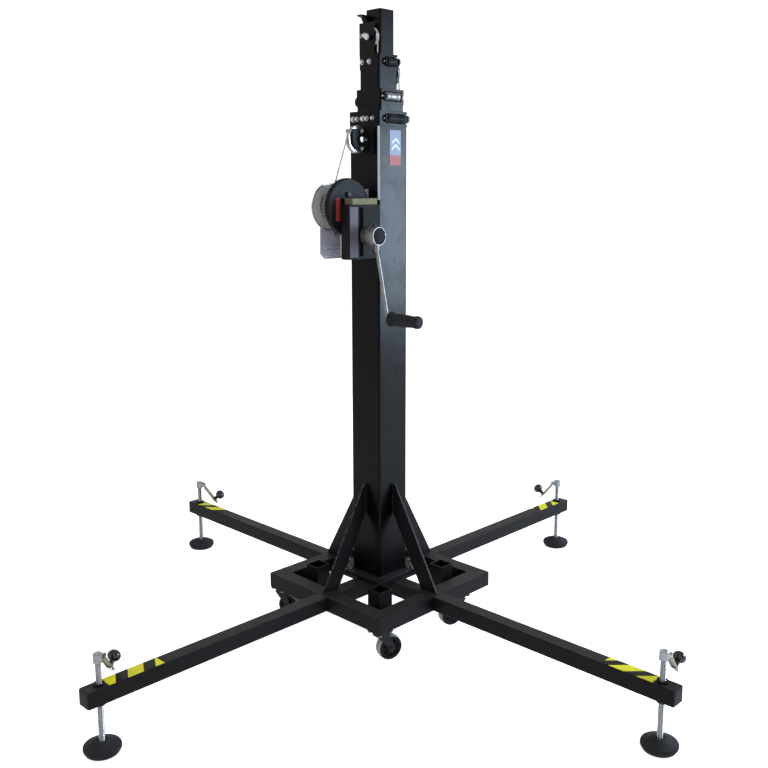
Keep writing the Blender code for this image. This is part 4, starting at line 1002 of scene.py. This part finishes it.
def drum():
    """Flange, rim, gear wheel, core and wound cable, all turned from +Z to +X."""
    along_x = Matrix(((0, 0, 1, 0), (0, 1, 0, 0), (-1, 0, 0, 0), (0, 0, 0, 1)))
    place = Matrix.Translation(DRUM_AXIS) @ along_x
    flange = [(0.0080, -0.0540), (0.0640, -0.0540), (0.0668, -0.0546), (0.0685, -0.0532),
              (0.0685, -0.0515), (0.0668, -0.0500), (0.0640, -0.0506), (0.0080, -0.0506),
              (0.0080, -0.0540)]
    fifth, ring = 1.2566, 0.040  # of a turn, and the screws' circle
    screws = []
    for i in range(5):
        spot = Vector((ring * math.cos(i * fifth), ring * math.sin(i * fifth), -0.0538))
        screws.append(at(socket_screw(0.0045, 0.0030), spot, -Z))
    shapes = [moved(s, place) for s in (lathe(flange, 72), *screws)]
    make("drum_flange", shapes, FLANGE_ZINC, "drum")
    bead = [(0.0685, -0.0548), (0.0695, -0.0540), (0.0695, -0.0508), (0.0685, -0.0500),
            (0.0660, -0.0499), (0.0660, -0.0549), (0.0685, -0.0548)]
    make("drum_rim", moved(lathe(bead, 72), place), ZINC, "drum")
    stub = [(0, -0.0595), (0.0070, -0.0595), (0.0080, -0.0585), (0.0080, 0.0165), (0.0070, 0.0175),
            (0, 0.0175)]
    boss = [(0.0300, 0.0020), (0.0300, 0.0110), (0.0080, 0.0110), (0.0080, 0.0020),
            (0.0300, 0.0020)]
    wheel = moved(gear(48, 0.003, 0.009), Matrix.Translation((0, 0, 0.0030)))
    core = [(0.0180, -0.0505), (0.0385, -0.0505), (0.0385, 0.0028), (0.0180, 0.0028),
            (0.0180, -0.0505)]
    shapes = [lathe(stub, 28), lathe(boss, 32), wheel, lathe(core, 56)]
    make("drum_body", [moved(s, place) for s in shapes], DULL_ZINC, "drum",
         ["winch_drum"])
    turns, steps, radius = 9, 40, 0.0410
    coil = []
    for k in range(turns * steps + 1):
        angle = 2 * math.pi * k / steps
        z = -0.0474 + 0.0050 * k / steps
        coil.append(Vector((radius * math.cos(angle), radius * math.sin(angle), z)))
    wound = sweep(coil, CABLE_RADIUS, 12, lobes=6, depth=0.0005, lay=0.036)
    # The wound turns take the darker cable steel, as painted shade.
    make("drum_cable", moved(wound, place), DRUM_CABLE, "drum", smooth=60)


def winch():
    """Winch frame, drum, crank shaft, gear cover with its label, and the load brake's housing."""
    refine("winch_frame", FRAME_GREY, 0.0008, 2)
    drum()
    refine("crank_shaft", ZINC, 0.0004, 1)
    refine("gear_cover", PLASTIC, 0.0010, 2)
    label = block((0.0341, -0.2080, 1.3150), (0.0345, -0.1915, 1.3810))
    make("cover_label", label, RED, "base")
    refine("brake_housing", HOUSING, 0.0014, 3)
    refine("housing_cap", OLIVE, 0.0012, 3)
    bolts = [at(hex_bolt(0.0075, 0.0060), (0.0341, -0.1600, 1.3900), X, 10)]
    for z in (1.2980, 1.2250):
        bolts.append(at(socket_screw(0.0050, 0.0035), (0.0719, -0.0900, z), X))
    make("winch_bolts", bolts, FORK_GREY, "base", edge=0.0004)
    strip = block((0.0716, -0.1890, 1.2110), (0.0728, -0.1570, 1.3550))
    make("housing_strip", strip, STRIP_GREY, "base", edge=0.0006)
    ribs = [block((0.0716, -0.1330, z), (0.0732, -0.0700, z + 0.0040))
            for z in (1.3060, 1.3140, 1.3220, 1.3300, 1.3380, 1.3460)]
    make("housing_ribs", ribs, HOUSING, "base", edge=0.0006)


def crank():
    """Hub with a dark end plate, the cranked round bar and the hand grip."""
    axis = CRANK_AXIS
    start = 0.0733
    hub = [(0.0, 0.0), (0.0255, 0.0), (0.0270, 0.0015), (0.0270, 0.0250), (0.0262, 0.0258),
           (0.0262, 0.0275), (0.0270, 0.0283), (0.0270, 0.0520), (0.0260, 0.0536), (0.0250, 0.0536),
           (0.0248, 0.0528), (0.0, 0.0528)]
    make("crank_hub", at(lathe(hub, 56), axis + X * start, X), DULL_ZINC, "crank",
         ["crank_arm"])
    plate = [(0.0, 0.0520), (0.0246, 0.0520), (0.0246, 0.0534), (0.0236, 0.0540), (0.0, 0.0540)]
    make("crank_hub_face", at(lathe(plate, 40), axis + X * start, X), HOUSING, "crank")
    screw = at(socket_screw(0.0058, 0.0018), axis + X * (start + 0.0534), X)
    make("crank_hub_screw", screw, PLASTIC, "crank")
    end = start + 0.054
    knee, grip_start = 0.016, end + 0.037
    points = [(end - 0.013, -0.023), (end - 0.011, -0.039)]
    points.append((grip_start - 0.006 - knee * 0.2, -CRANK_RADIUS + knee * 1.1))
    points += arc((grip_start + 0.006, -CRANK_RADIUS + knee * 0.9), knee * 0.9, 190, 270, 16)
    points.append((grip_start + 0.106, -CRANK_RADIUS))
    path = [axis + Vector((x, 0, z)) for x, z in points]
    make("crank_rod", sweep(path, 0.0050, 24), DULL_ZINC, "crank", smooth=40)
    collar = at(lathe([(0.0048, -0.006), (0.0085, -0.006), (0.0085, 0.010), (0.0072, 0.014),
                       (0.0048, 0.014), (0.0048, -0.006)], 28),
                axis + Vector((end - 0.0125, 0, -0.030)), Vector((0.03, 0, -1)).normalized())
    make("crank_rod_collar", collar, DULL_ZINC, "crank")
    first = grip_start + 0.008
    profile = [(0.0058, 0.0), (0.0205, 0.0), (0.0222, 0.0012), (0.0225, 0.0040), (0.0222, 0.0062),
               (0.0195, 0.0085), (0.0168, 0.0120)]
    for i in range(8):
        z = 0.0180 + i * 0.0098
        swell = 0.0168 + 0.0017 * math.sin(math.pi * min(1.0, (i + 1) / 7))
        profile += [(swell, z), (swell, z + 0.0062), (swell - 0.0009, z + 0.0072),
                    (swell - 0.0009, z + 0.0088)]
    profile += [(0.0182, 0.0980), (0.0185, 0.1030), (0.0175, 0.1085), (0.0140, 0.1112),
                (0.0090, 0.1120), (0.0, 0.1120)]
    grip = at(lathe(profile, 48), (first, axis.y, axis.z - CRANK_RADIUS), X)
    make("hand_grip", grip, RUBBER, "grip", ["crank_grip"])


set_camera()
set_stage()
outriggers()
base()
casters()
mast()
guide_roller(1, "roller_1", PLASTIC, CREAM)
guide_roller(2, "roller_2", DULL_ZINC, DULL_ZINC)
guide_roller(3, "roller_3", PLASTIC, FORK_GREY)
small_pulley(2)
small_pulley(3)
pulley_strand(2)
pulley_strand(3)
head_bolts()
head_pulley()
cables()
winch()
crank()
